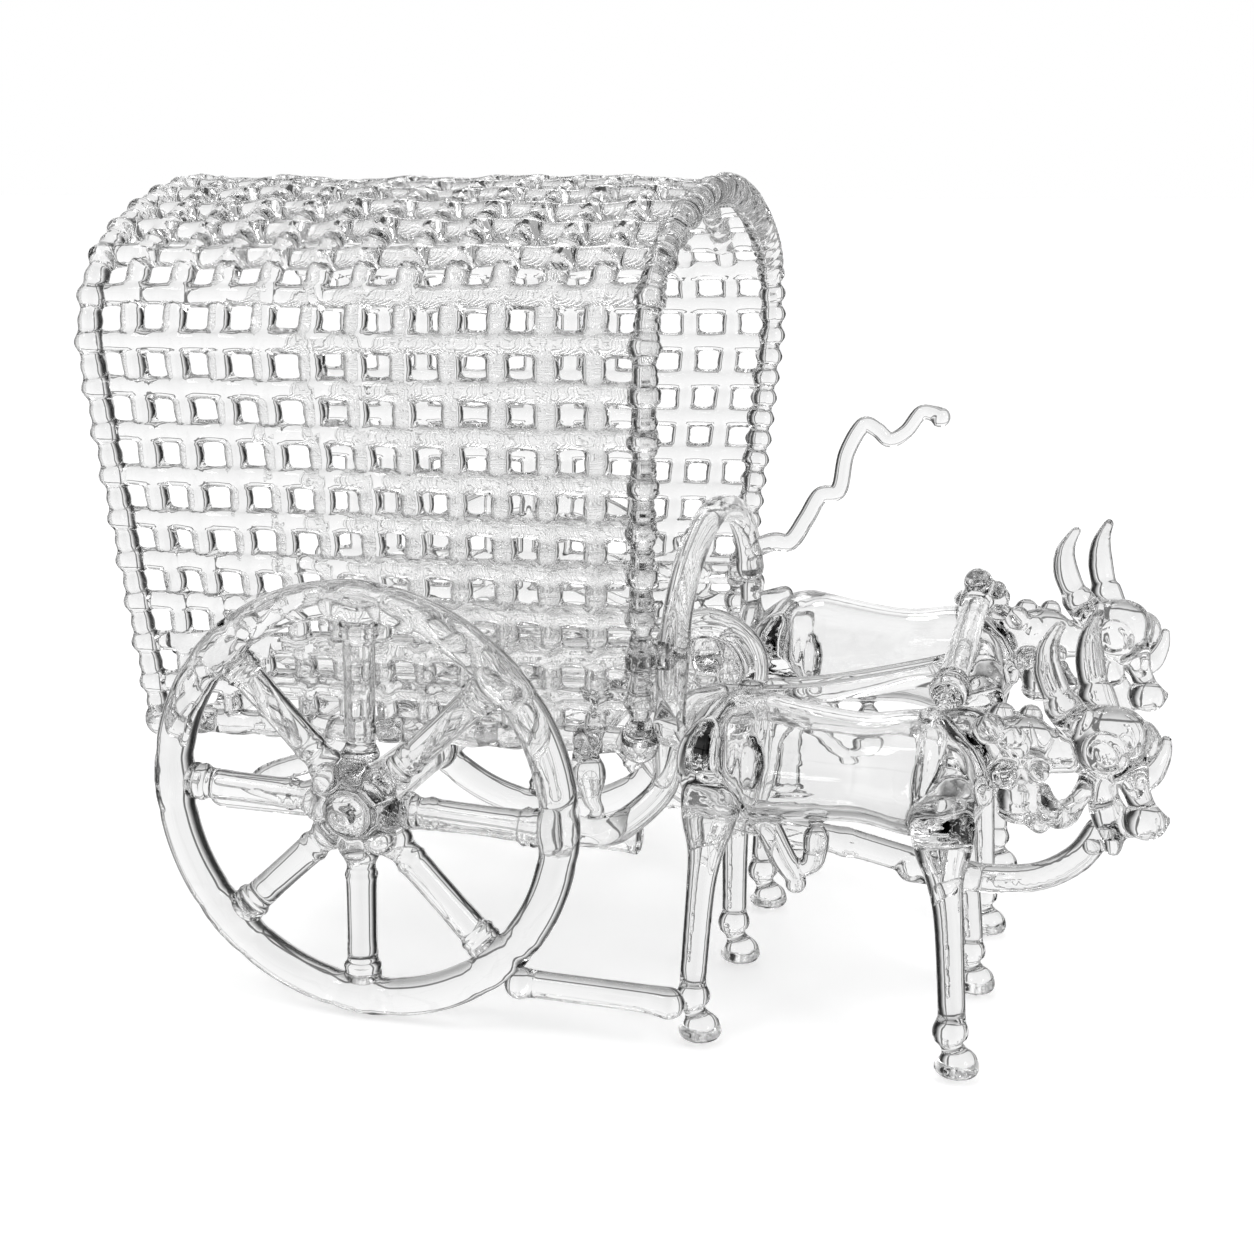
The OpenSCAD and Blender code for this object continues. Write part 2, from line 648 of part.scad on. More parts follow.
module dewlap() {
    jar_r = 3.4;
    translate([chest_x + jar_r + 0.3, 0, belly_z + 3.6]) cylinder(r = jar_r, h = barrel_r - 2.1);
}
module sheath() {
    bent([[4, -2.6, belly_z - 1.4], [5.4, -2.8, belly_z - 2.6], [7.4, -3, belly_z - 5.6],
          [8.8, -3, belly_z - 8.4]],
         [1.7, 1.8, 1.5, 1.3], steps = 3, sides = 12);
}
right_place = [body_x, -right_y, 0];
left_place = [body_x, left_y, left_lift];
module on_right() color(clear_glass) translate(right_place) children();
module on_left() color(clear_glass) translate(left_place) children();

module right_bullock_barrel() on_right() barrel();
module right_bullock_haunch() on_right() haunch();
module right_bullock_chest() on_right() chest();
module right_bullock_neck() on_right() neck();
module right_bullock_head() on_right() head();
module right_bullock_horns() on_right() horns();
module right_bullock_ears() on_right() ears();
module right_bullock_legs() on_right() legs(0);
module right_bullock_dewlap() on_right() dewlap();
module right_bullock_sheath() on_right() sheath();
module left_bullock_barrel() on_left() barrel();
module left_bullock_haunch() on_left() haunch();
module left_bullock_chest() on_left() chest();
module left_bullock_neck() on_left() neck();
module left_bullock_head() on_left() head();
module left_bullock_horns() on_left() horns();
module left_bullock_ears() on_left() ears();
module left_bullock_legs() on_left() legs(left_lift);
module left_bullock_dewlap() on_left() dewlap();
module left_bullock_sheath() on_left() sheath();

axle();
right_wheel_rim();
right_wheel_spokes();
right_wheel_hub();
left_wheel_rim();
left_wheel_spokes();
left_wheel_hub();
canopy_rods_right();
canopy_rods_roof();
canopy_rods_left();
canopy_bridges_right();
canopy_bridges_roof();
canopy_bridges_left();
canopy_front_rope();
canopy_rear_rope();
bed_sills();
bed_cross_rods();
bed_slats();
side_rails();
under_beams();
rear_struts();
front_struts();
axle_posts();
front_hoop();
seat_arch();
seat_knob();
whip();
tongue();
yoke_beam();
yoke_beads();
wheel_braces();
lower_shaft();
draught_rods();
right_bullock_barrel();
right_bullock_haunch();
right_bullock_chest();
right_bullock_neck();
right_bullock_head();
right_bullock_horns();
right_bullock_ears();
right_bullock_legs();
right_bullock_dewlap();
right_bullock_sheath();
left_bullock_barrel();
left_bullock_haunch();
left_bullock_chest();
left_bullock_neck();
left_bullock_head();
left_bullock_horns();
left_bullock_ears();
left_bullock_legs();
left_bullock_dewlap();
left_bullock_sheath();
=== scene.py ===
"""Clear glass figurine of a covered cart and two bullocks, shaped and finished round its CAD frame.

Every shape is worked out in millimetres, +X the way the bullocks walk and the floor at z = 0, and
is turned to metres when its mesh is made. A shell is a pair: an array of points and a list of
arrays of faces. Rods of glass that are fused into each other are remeshed as one skin.
"""

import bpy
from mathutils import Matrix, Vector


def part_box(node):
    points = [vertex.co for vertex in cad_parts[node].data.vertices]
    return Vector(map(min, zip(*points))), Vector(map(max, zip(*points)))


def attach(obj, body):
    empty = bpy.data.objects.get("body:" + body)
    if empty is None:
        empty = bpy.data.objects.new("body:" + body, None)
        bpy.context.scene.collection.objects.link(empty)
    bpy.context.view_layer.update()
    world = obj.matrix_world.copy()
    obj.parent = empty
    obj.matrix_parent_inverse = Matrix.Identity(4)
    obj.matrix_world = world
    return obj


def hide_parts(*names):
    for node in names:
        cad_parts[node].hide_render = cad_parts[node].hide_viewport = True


bl_info = {
    "name": "Glass Bullock Cart",
    "version": (1, 0, 0),
    "blender": (4, 5, 0),
    "location": "View3D > Sidebar > Figurine",
    "description": "Builds the fused glass pieces of a bullock cart figurine round its frame",
    "category": "Object",
}

from math import atan2, cos, pi, radians, sin, sqrt

import bmesh
import bpy
import numpy as np
from mathutils import Vector

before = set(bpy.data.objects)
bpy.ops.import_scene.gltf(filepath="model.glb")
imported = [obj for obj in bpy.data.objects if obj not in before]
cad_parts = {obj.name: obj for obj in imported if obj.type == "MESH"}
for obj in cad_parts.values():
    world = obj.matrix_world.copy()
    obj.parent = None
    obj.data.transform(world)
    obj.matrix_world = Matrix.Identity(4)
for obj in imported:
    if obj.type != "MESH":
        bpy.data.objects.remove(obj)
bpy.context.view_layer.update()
MM = 0.001
BODY = "root"
DRAWN_ROD = "drawn_borosilicate_rod"
FUSED_LATTICE = "fused_lattice_rod"
BLOWN_BODY = "blown_borosilicate_body"


# ---------------------------------------------------------------------------------------
# Places read from the frame, in millimetres

def corners(node):
    """The lowest and highest corner of a CAD node."""
    low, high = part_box(node)
    return np.array(low) / MM, np.array(high) / MM


def middle(node):
    """The middle of a CAD node's box."""
    low, high = corners(node)
    return (low + high) / 2


def span(node, axis):
    """The size of a CAD node's box along one axis."""
    low, high = corners(node)
    return high[axis] - low[axis]


# ---------------------------------------------------------------------------------------
# Shells

# degrees round a quarter circle at which a rod's rounded end has its rings
END_RINGS = (22, 44, 64, 80)


def grid_faces(rows, columns, wrap_rows=False, wrap_columns=True, start=0):
    """Quads of a grid of points: each takes a point, the next in its column, and their neighbours."""
    r = np.arange(rows if wrap_rows else rows - 1)[:, None]
    c = np.arange(columns if wrap_columns else columns - 1)[None, :]
    r_next = (r + 1) % rows
    c_next = (c + 1) % columns
    quads = np.stack([r * columns + c, r * columns + c_next,
                      r_next * columns + c_next, r_next * columns + c], axis=-1)
    return quads.reshape(-1, 4) + start


def join(shells):
    """Several shells as one: their points one after another, each one's faces shifted to match."""
    points, faces, start = [], [], 0
    for shell_points, shell_faces in shells:
        points.append(shell_points)
        faces.extend(f + start for f in shell_faces)
        start += len(shell_points)
    return np.concatenate(points), faces


def moved(shell, offset):
    """A shell shifted by an offset."""
    return shell[0] + np.asarray(offset, float), shell[1]


def turned(shell, degrees):
    """A shell turned about the Z axis through the origin."""
    a = radians(degrees)
    turn = np.array([[cos(a), sin(a), 0], [-sin(a), cos(a), 0], [0, 0, 1]])
    return shell[0] @ turn, shell[1]


def even_path(rows, step):
    """A smooth path through rows of numbers, evenly spaced.

    Catmull-Rom: each stretch is a cubic whose end slopes are half the chord between the
    neighbouring rows. It is sampled finely and then resampled at equal lengths of x, y, z.
    """
    p = np.asarray(rows, float)
    p = np.concatenate([p[:1], p, p[-1:]])
    a, b, c, d = (p[i:len(p) - 3 + i, None, :] for i in range(4))
    samples = 24
    t = np.linspace(0, 1, samples, endpoint=False)[None, :, None]
    q = 0.5 * (2 * b + (c - a) * t + (2 * a - 5 * b + 4 * c - d) * t ** 2
               + (3 * b - a - 3 * c + d) * t ** 3)
    q = np.concatenate([q.reshape(-1, p.shape[1]), p[-1:]])
    lengths = np.concatenate([[0], np.cumsum(np.linalg.norm(np.diff(q[:, :3], axis=0), axis=1))])
    count = max(4, int(np.ceil(lengths[-1] / step)) + 1)
    at = np.linspace(0, lengths[-1], count)
    return np.stack([np.interp(at, lengths, q[:, k]) for k in range(p.shape[1])], axis=1)


def sweep(path, radius, sides=16, across=(0, 1, 0), closed=False):
    """A section carried along a path.

    Each ring lies square to the path at one of its points: point + radius * (u cos a + v sin a),
    where u is square to the path and to the direction across, and v to both. The radius is one
    number for each ring, or one for each point of each ring. Open ends close on a pole.
    """
    path = np.asarray(path, float)
    if closed:
        slope = np.roll(path, -1, axis=0) - np.roll(path, 1, axis=0)
    else:
        slope = np.gradient(path, axis=0)
    slope /= np.linalg.norm(slope, axis=1, keepdims=True)
    u = np.cross(across, slope)
    u /= np.linalg.norm(u, axis=1, keepdims=True)
    v = np.cross(slope, u)
    a = np.arange(sides) * 2 * pi / sides
    radius = np.asarray(radius, float)
    if radius.ndim == 1:
        radius = radius[:, None]
    ring = u[:, None, :] * np.cos(a)[None, :, None] + v[:, None, :] * np.sin(a)[None, :, None]
    points = (path[:, None, :] + radius[:, :, None] * ring).reshape(-1, 3)
    faces = [grid_faces(len(path), sides, wrap_rows=closed)]
    if not closed:
        count = len(points)
        points = np.concatenate([points, path[:1], path[-1:]])
        k = np.arange(sides)
        k_next = (k + 1) % sides
        last = count - sides
        faces.append(np.stack([np.full(sides, count), k_next, k], axis=1))
        faces.append(np.stack([np.full(sides, count + 1), last + k, last + k_next], axis=1))
    return points, faces


def rod(rows, step=0.5, sides=16, across=(0, 1, 0), lengthen=1.0):
    """A rod through rows of x, y, z and radius, with ends rounded as quarter circles.

    Each end gains rings at radius * sin(a) beyond the path, each radius * cos(a) wide.
    """
    q = even_path(rows, step)
    a = np.radians(END_RINGS)[:, None]
    first = (q[0, :3] - q[1, :3]) / np.linalg.norm(q[0, :3] - q[1, :3])
    final = (q[-1, :3] - q[-2, :3]) / np.linalg.norm(q[-1, :3] - q[-2, :3])
    head = np.hstack([q[0, :3] + first * q[0, 3] * lengthen * np.sin(a), q[0, 3] * np.cos(a)])
    tail = np.hstack([q[-1, :3] + final * q[-1, 3] * lengthen * np.sin(a), q[-1, 3] * np.cos(a)])
    q = np.concatenate([head[::-1], q, tail])
    return sweep(q[:, :3], q[:, 3], sides, across)


def straight(a, b, radius, **options):
    """A straight rod of one radius from a to b."""
    return rod([[*a, radius], [*b, radius]], **options)


def lathe(profile, start, way, sides=32, step=0.4, across=(0, 0, 1)):
    """A profile of rows (distance along way, radius) turned about a line from start."""
    way = np.asarray(way, float) / np.linalg.norm(way)
    profile = np.asarray(profile, float)
    rows = np.hstack([np.asarray(start, float) + profile[:, :1] * way, profile[:, 1:]])
    q = even_path(rows, step)
    return sweep(q[:, :3], np.maximum(q[:, 3], 0.02), sides, across)


def ball(centre, radii, sides=20, rings=13):
    """An ellipsoid: centre + radii * (cos a sin b, sin a sin b, cos b), closed at both poles."""
    cap = 0.12
    b = np.linspace(cap, pi - cap, rings)[:, None]
    a = (np.arange(sides) * 2 * pi / sides)[None, :]
    unit = np.stack([np.cos(a) * np.sin(b), np.sin(a) * np.sin(b),
                     np.cos(b) + 0 * a], axis=-1).reshape(-1, 3)
    poles = np.array([[0, 0, 1.0], [0, 0, -1.0]])
    points = np.asarray(centre, float) + np.concatenate([unit, poles]) * np.asarray(radii, float)
    k = np.arange(sides)
    k_next = (k + 1) % sides
    count = rings * sides
    last = count - sides
    faces = [grid_faces(rings, sides)[:, ::-1],
             np.stack([np.full(sides, count), k, k_next], axis=1),
             np.stack([np.full(sides, count + 1), last + k_next, last + k], axis=1)]
    return points, faces


def inside_out(shell):
    """A shell whose faces look the other way, for the wall of a hollow."""
    return shell[0], [f[:, ::-1] for f in shell[1]]


# ---------------------------------------------------------------------------------------
# Pieces

def mesh_of(name, shell):
    """A smooth mesh of a shell, in metres."""
    points, faces = shell
    mesh = bpy.data.meshes.new(name)
    mesh.vertices.add(len(points))
    mesh.vertices.foreach_set("co", np.ascontiguousarray(points * MM, np.float32).ravel())
    corner = np.concatenate([f.ravel() for f in faces])
    sizes = np.concatenate([np.full(len(f), f.shape[1]) for f in faces])
    mesh.loops.add(len(corner))
    mesh.loops.foreach_set("vertex_index", corner.astype(np.int32))
    mesh.polygons.add(len(sizes))
    starts = np.concatenate([[0], np.cumsum(sizes)[:-1]])
    mesh.polygons.foreach_set("loop_start", starts.astype(np.int32))
    mesh.polygons.foreach_set("use_smooth", np.ones(len(sizes), bool))
    mesh.update(calc_edges=True)
    mesh.validate()
    return mesh


def add_piece(name, mesh, material, nodes):
    """Shows a mesh as a piece of the figurine that stands for CAD nodes."""
    piece = bpy.data.objects.new(name, mesh)
    bpy.context.scene.collection.objects.link(piece)
    mesh.materials.clear()
    mesh.materials.append(bpy.data.materials[material])
    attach(piece, BODY)
    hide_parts(*nodes)
    return piece


def fused(name, shell, voxel, passes):
    """One skin round overlapping shells, as glass flows together in the flame.

    The shells become voxels of the given size in millimetres, their outside becomes a mesh, and
    each pass moves every point half way to the middle of its neighbours, which fills the joints.
    """
    source = bpy.data.objects.new(name + "_source", mesh_of(name + "_source", shell))
    bpy.context.scene.collection.objects.link(source)
    melt = source.modifiers.new("Melt", "REMESH")
    melt.mode = "VOXEL"
    melt.voxel_size = voxel * MM
    melt.use_smooth_shade = True
    flow = source.modifiers.new("Flow", "SMOOTH")
    flow.factor = 0.5
    flow.iterations = passes
    graph = bpy.context.evaluated_depsgraph_get()
    mesh = bpy.data.meshes.new_from_object(source.evaluated_get(graph))
    mesh.name = name
    bpy.data.objects.remove(source)
    mesh.polygons.foreach_set("use_smooth", np.ones(len(mesh.polygons), bool))
    return mesh


def welded(mesh, distance):
    """Joins the points of a mesh that lie within a distance in millimetres of each other."""
    bm = bmesh.new()
    bm.from_mesh(mesh)
    bmesh.ops.remove_doubles(bm, verts=bm.verts, dist=distance * MM)
    bm.to_mesh(mesh)
    bm.free()
    mesh.polygons.foreach_set("use_smooth", np.ones(len(mesh.polygons), bool))
    return mesh


def add_shell(piece, shell):
    """Adds a shell to a piece's mesh as it is, such as the wall of a hollow."""
    bm = bmesh.new()
    bm.from_mesh(piece.data)
    extra = mesh_of("extra", shell)
    bm.from_mesh(extra)
    bm.to_mesh(piece.data)
    bm.free()
    bpy.data.meshes.remove(extra)
    piece.data.polygons.foreach_set("use_smooth", np.ones(len(piece.data.polygons), bool))


def add_rods(name, shells, nodes, voxel=None, passes=3):
    """Shows drawn rods as one piece, melted into one skin where a voxel size is given."""
    shell = join(shells)
    mesh = fused(name, shell, voxel, passes) if voxel else mesh_of(name, shell)
    return add_piece(name, mesh, DRAWN_ROD, nodes)


def beads(at, places):
    """Beads of glass about a point, from pairs of an offset and a radius."""
    return [ball(at + np.array(offset), [radius] * 3) for offset, radius in places]


# ---------------------------------------------------------------------------------------
# Wheels and axle

def rim_shell(centre, rim_r, mid_r, angles):
    """A wheel's rim, swollen where each spoke is fused to it.

    At a distance d round the rim from the nearest spoke, its rod has the radius
    rim_r * (slim + swell * exp(-(d / 2.2)^2) - neck * exp(-(d - 4.6)^2)), with a slow wander.
    """
    turn = np.linspace(0, 2 * pi, 400, endpoint=False)
    apart = (turn[:, None] - angles[None, :] + pi) % (2 * pi) - pi
    d = np.abs(apart).min(axis=1) * mid_r
    slim, swell, neck = 0.97, 0.14, 0.04
    wander = 0.012 * np.sin(5 * turn + 1)
    radius = rim_r * (slim + swell * np.exp(-(d / 2.2) ** 2)
                      - neck * np.exp(-(d - 4.6) ** 2) + wander)
    # a swelling grows inwards, so that the wheel still stands on its outer edge
    inset = mid_r - np.maximum(radius - rim_r, 0)
    path = centre + inset[:, None] * np.stack([np.sin(turn), 0 * turn, np.cos(turn)], axis=1)
    return sweep(path, radius, 28, closed=True)


def spoke_shells(centre, reach, angles):
    """A wheel's spokes, each with a bead at its root and collars where it enters the rim."""
    spoke_r = 2.35
    # distance from the wheel's middle, and radius
    profile = [[6.6, 0.6], [6.8, 2.2], [7.4, 2.8], [8.2, 2.7], [9.2, 2.25], [10.2, 2.2],
               [11.2, 2.5], [12.6, 2.3], [reach / 2 + 6, spoke_r * 0.96], [reach - 5, spoke_r],
               [reach - 3.0, 2.4], [reach - 2.2, 2.9], [reach - 1.4, 2.7], [reach - 0.6, 2.9],
               [reach + 0.2, 2.5], [reach + 0.6, 1.4], [reach + 0.7, 0.3]]
    shells = []
    for k, a in enumerate(angles):
        off_plane = 0.25 * sin(2.4 * k + 1)
        shells.append(lathe(profile, centre + [0, off_plane, 0], [sin(a), 0, cos(a)], sides=24,
                            across=(0, 1, 0)))
    return shells


def hub_shells(side, centre, angles):
    """A wheel's hub: its drum with the axle's end, and a blob at each spoke's root outside."""
    outward = -1 if side == "right" else 1
    shells = [ball(centre + 5.6 * np.array([sin(a), 0, cos(a)]) + [0, outward * 2.3, 0],
                   [2.7, 2.2, 2.7]) for a in angles]
    half = span(side + "_wheel_hub", 1) / 2
    stub = corners("axle")[1][1] - centre[1] * outward
    start = centre - [0, outward * (half + 0.8), 0]
    # distance from the hub's inner face outwards, and radius
    profile = [[0, 1.2], [0.3, 3.6], [1.4, 4.6], [2.2, 4.2], [3.2, 5.2], [half + 2, 5.4],
               [2 * half - 0.4, 4.6], [2 * half + 0.6, 3.5], [2 * half + 1.4, 3.9],
               [half + stub - 2.4, 3.7], [half + stub - 1.0, 3.4],
               [half + stub, 2.6], [half + stub + 0.6, 1.5], [half + stub + 0.8, 0.3]]
    return shells + [lathe(profile, start, [0, outward, 0], sides=36)]


class FIGURINE_OT_wheels(bpy.types.Operator):
    """Builds both wheels: a rim, spokes let into it and a hub of beads fused together"""
    bl_idname = "figurine.wheels"
    bl_label = "Wheels"

    def execute(self, context):
        sizes = context.scene.figurine
        count = sizes.spoke_count
        angles = radians(sizes.spoke_phase) + np.arange(count) * 2 * pi / count
        for side in ("right", "left"):
            name = side + "_wheel"
            low, high = corners(name + "_rim")
            centre = (low + high) / 2
            rim_r = (high[1] - low[1]) / 2
            mid_r = (high[2] - low[2]) / 2 - rim_r
            rim = rim_shell(centre, rim_r, mid_r, angles)
            piece = add_rods(name, hub_shells(side, centre, angles),
                             [name + "_rim", name + "_spokes", name + "_hub"],
                             voxel=0.3, passes=4)
            add_shell(piece, join([rim] + spoke_shells(centre, mid_r - rim_r, angles)))
        return {"FINISHED"}


class FIGURINE_OT_axle(bpy.types.Operator):
    """Builds the axle between the hubs, with the collars where the posts stand on it"""
    bl_idname = "figurine.axle"
    bl_label = "Axle"

    def execute(self, context):
        inside_hub = 0.9
        centre = middle("axle")
        half = inside_hub - corners("right_wheel_hub")[1][1]
        r = span("axle", 0) / 2
        post = span("axle_posts", 1) / 2 - 2
        rows = [[centre[0], y, centre[2], r * k] for y, k in (
            (-half, 0.9), (-half + 2, 1.0), (-post - 3, 0.96), (-post, 1.12), (-post + 3, 0.96),
            (0, 1.0), (post - 3, 0.96), (post, 1.12), (post + 3, 0.96),
            (half - 2, 1.0), (half, 0.9))]
        add_rods("axle_rod", [rod(rows, sides=28, across=(1, 0, 0), lengthen=0.3)], ["axle"])
        return {"FINISHED"}


# ---------------------------------------------------------------------------------------
# Canopy

class Canopy:
    """The curved sheet that the canopy's rods lie in, from the frame's boxes and the settings."""

    def __init__(self, sizes):
        sill_low, sill_high = corners("bed_sills")
        rope_high = corners("canopy_front_rope")[1]
        sill_r = sizes.sill_thickness / MM / 2
        rope_r = sizes.rope_thickness / MM / 2
        self.foot_half = sill_high[1] - sill_r
        self.front_foot = sill_high[2] - sill_r
        self.rear_foot = sill_low[2] + sill_r
        self.half = rope_high[1] - rope_r
        self.shoulder_z = sizes.shoulder_height / MM
        self.shoulder_r = sizes.shoulder_radius / MM
        self.crown_r = sizes.crown_radius / MM
        self.crown_half = rope_high[0] - rope_r
        self.foot_len_half = sill_high[0] + rope_r + 0.15
        self.right_wall_short = 1.6

    def half_arch(self, foot_z, d):
        """Point (y, z) at a distance d up from the foot, or half the arch's length if d is None.

        A straight leaning wall, then an arc of the shoulder radius, then one of the crown
        radius, each tangent to the one before.
        """
        rise = self.shoulder_z - foot_z
        lean = atan2(self.half - self.foot_half, rise)
        wall = sqrt((self.half - self.foot_half) ** 2 + rise ** 2)
        mid_y = self.half - self.shoulder_r * cos(lean)
        mid_z = self.shoulder_z + self.shoulder_r * sin(lean)
        start = np.arccos(mid_y / (self.crown_r - self.shoulder_r))
        bend = self.shoulder_r * (start + lean)
        half = wall + bend + self.crown_r * (pi / 2 - start)
        if d is None:
            return half
        crown_z = mid_z - (self.crown_r - self.shoulder_r) * sin(start)
        a = (d - wall) / self.shoulder_r - lean
        c = start + (d - wall - bend) / self.crown_r
        on_wall = d < wall
        on_bend = d < wall + bend
        y = np.where(on_wall, self.foot_half + d * sin(lean),
                     np.where(on_bend, mid_y + self.shoulder_r * np.cos(a),
                              self.crown_r * np.cos(c)))
        z = np.where(on_wall, foot_z + d * cos(lean),
                     np.where(on_bend, mid_z + self.shoulder_r * np.sin(a),
                              crown_z + self.crown_r * np.sin(c)))
        return y, z

    def end(self, foot_z, s, side):
        """Points of the canopy's front or rear edge at shares s round it, from the right foot."""
        half = self.half_arch(foot_z, None)
        y, z = self.half_arch(foot_z, 2 * np.minimum(s, 1 - s) * half)
        grow = np.clip((z - foot_z) / (self.shoulder_z - foot_z), 0, 1)
        x = self.foot_len_half + (self.crown_half - self.foot_len_half) * grow
        # the right wall is a little shorter, up to its shoulder
        x = x - self.right_wall_short * grow * np.clip((0.5 - s) / 0.2, 0, 1)
        return np.stack([side * x, np.where(s < 0.5, -y, y), z], axis=-1)

    def sheet(self, s, u):
        """The point a share s round the arch and a share u from rear to front."""
        u = np.asarray(u, float)[..., None]
        return self.end(self.rear_foot, s, -1) * (1 - u) + self.end(self.front_foot, s, 1) * u

    def outward(self, s, u):
        """The unit direction square to the sheet, out of the canopy."""
        h = 0.002
        along = self.sheet(s, u + h) - self.sheet(s, u - h)
        round_it = (self.sheet(np.minimum(s + h, 1), u) - self.sheet(np.maximum(s - h, 0), u))
        n = np.cross(along, round_it)
        return n / np.linalg.norm(n, axis=-1, keepdims=True)


def lattice_shell(canopy, rows, round_count, along_count, hole, thickness):
    """Rows of the canopy's mesh of fused rods: each cell is a wall of glass round a window.

    In a cell, a point t of the way from the outer edge of the cell to its inner edge lies at
    edge + (window - edge) * sin(pi t) in the sheet and at depth * cos(pi t) out of it, so the
    glass between two windows has a round section. The window is a superellipse. The depth is
    full along the lengthwise rods. Across them each link is a bead between two necks: the depth
    drops by a bell curve round each neck and by a flatter one round the link's middle.
    """
    rng = np.random.default_rng(7 + rows[0])
    per_side = 8
    rings = 8
    edge = (np.arange(per_side) / per_side - 0.5)
    side = np.full(per_side, 0.5)
    a = np.concatenate([side, -edge, -side, edge])
    b = np.concatenate([edge, side, -edge, -side])
    cells = np.stack(np.meshgrid(rows, np.arange(along_count), indexing="ij"),
                     axis=-1).reshape(-1, 2)
    size = hole * (1 + rng.uniform(-0.1, 0.1, (len(cells), 2)))
    nudge = rng.uniform(-0.03, 0.03, (len(cells), 2))
    power = 3.6
    # how far out the window's edge lies in each direction, so that its corners are round
    scale = ((np.abs(a)[None] / size[:, :1]) ** power
             + (np.abs(b)[None] / size[:, 1:]) ** power) ** (-1 / power)
    window_a = a[None] * scale + nudge[:, :1]
    window_b = b[None] * scale + nudge[:, 1:]
    # a link swells into its window at its middle
    window_a = window_a * (1 - 0.12 * np.exp(-(window_b / 0.12) ** 2))
    t = np.linspace(0, 1, rings + 1)[None, :, None]
    close = np.sin(pi * t)
    in_a = a[None, None] + (window_a[:, None] - a[None, None]) * close
    in_b = b[None, None] + (window_b[:, None] - b[None, None]) * close
    u = (cells[:, 1, None, None] + 0.5 + in_a) / along_count
    s = (cells[:, 0, None, None] + 0.5 + in_b) / round_count
    edge_u = (cells[:, 1, None, None] + 0.5 + a[None, None] + 0 * t) / along_count
    edge_s = (cells[:, 0, None, None] + 0.5 + b[None, None] + 0 * t) / round_count
    s = np.clip(s, 0, 1)
    off_link = np.abs(in_b)
    neck = np.exp(-((off_link - 0.25) / 0.07) ** 2)
    bead = np.exp(-(off_link / 0.14) ** 2)
    swell = (1.06 - 0.34 * neck - 0.12 * bead
             + 0.07 * np.cos(2 * pi * edge_u * along_count)
             + 0.06 * np.sin(57 * edge_s + 23 * edge_u) + 0.05 * np.sin(31 * edge_u - 71 * edge_s))
    unevenness = 0.22 * np.sin(41 * edge_s + 9 * edge_u) + 0.18 * np.sin(29 * edge_u + 17 * edge_s)
    out = thickness * swell * np.cos(pi * t) + unevenness
    points = canopy.sheet(s, u) + canopy.outward(s, u) * out[..., None]
    columns = 4 * per_side
    block = grid_faces(rings + 1, columns)
    starts = (np.arange(len(cells)) * (rings + 1) * columns)[:, None, None]
    quads = (block[None] + starts).reshape(-1, 4)
    return points.reshape(-1, 3), [quads]


def rope_radius(turns, length, share, sides, base):
    """The radius of the canopy's rim at each point of each ring.

    Up to the crown it is a row of beads; over the far shoulder three strands are wound round
    it, a cosine of three times the angle less the turn so far; past that it is beads again.
    """
    a = np.arange(sides)[None, :] * 2 * pi / sides
    d = (share * length)[:, None]
    wound_from, wound_to, fade = 0.49, 0.70, 0.02
    strand_pitch, bead_pitch = 1.9, 3.6
    wound = (np.clip((share - wound_from) / fade, 0, 1)
             * np.clip((wound_to - share) / fade, 0, 1))[:, None]
    twist = 0.17 * np.cos(3 * a - 2 * pi * d / strand_pitch)
    near = (-0.16 + 0.13 * np.cos(2 * pi * share * turns)
            + 0.08 * np.cos(4 * pi * share * turns + 1) + 0.05 * np.sin(9 * pi * share * turns))
    far = -0.08 + 0.17 * np.cos(2 * pi * d / bead_pitch)
    beaded = np.where(share[:, None] < 0.5, near[:, None], far)
    return base * (1 - 0.05 * wound + wound * twist + (1 - wound) * beaded)


class FIGURINE_OT_canopy(bpy.types.Operator):
    """Builds the canopy's lattice of fused rods as one skin with a window in each cell"""
    bl_idname = "figurine.canopy"
    bl_label = "Canopy lattice"

    def execute(self, context):
        sizes = context.scene.figurine
        canopy = Canopy(sizes)
        window = np.array([sizes.window_along, sizes.window_round])
        thirds = np.array_split(np.arange(sizes.cells_round), 3)
        for rows, part in zip(thirds, ("right", "roof", "left")):
            name = "canopy_lattice_" + part
            shell = lattice_shell(canopy, rows, sizes.cells_round, sizes.cells_along, window,
                                  sizes.lattice_thickness / MM / 2)
            add_piece(name, welded(mesh_of(name, shell), distance=0.002), FUSED_LATTICE,
                      ["canopy_rods_" + part, "canopy_bridges_" + part])
        return {"FINISHED"}


def front_rim_shell(canopy, sizes):
    """The front rim, beaded and wound, along the sheet's front edge."""
    share = np.linspace(0, 1, 640)
    length = 2 * canopy.half_arch(canopy.front_foot, None)
    sides = 22
    path = canopy.sheet(share, np.ones_like(share))
    radius = rope_radius(sizes.cells_round, length, share, sides, sizes.rope_thickness / MM / 2)
    return sweep(path, radius, sides, across=(1, 0, 0))


def rear_rim_shell(canopy, sizes):
    """The rear rim, with a large and a small bead for each row of the lattice."""
    share = np.linspace(0, 1, 560)
    path = canopy.sheet(share, np.zeros_like(share))
    turns = 2 * pi * share * sizes.cells_round
    beaded = 0.86 + 0.12 * np.cos(turns) + 0.10 * np.cos(2 * turns + 0.6)
    return sweep(path, sizes.rope_thickness / MM / 2 * beaded, 18, across=(1, 0, 0))


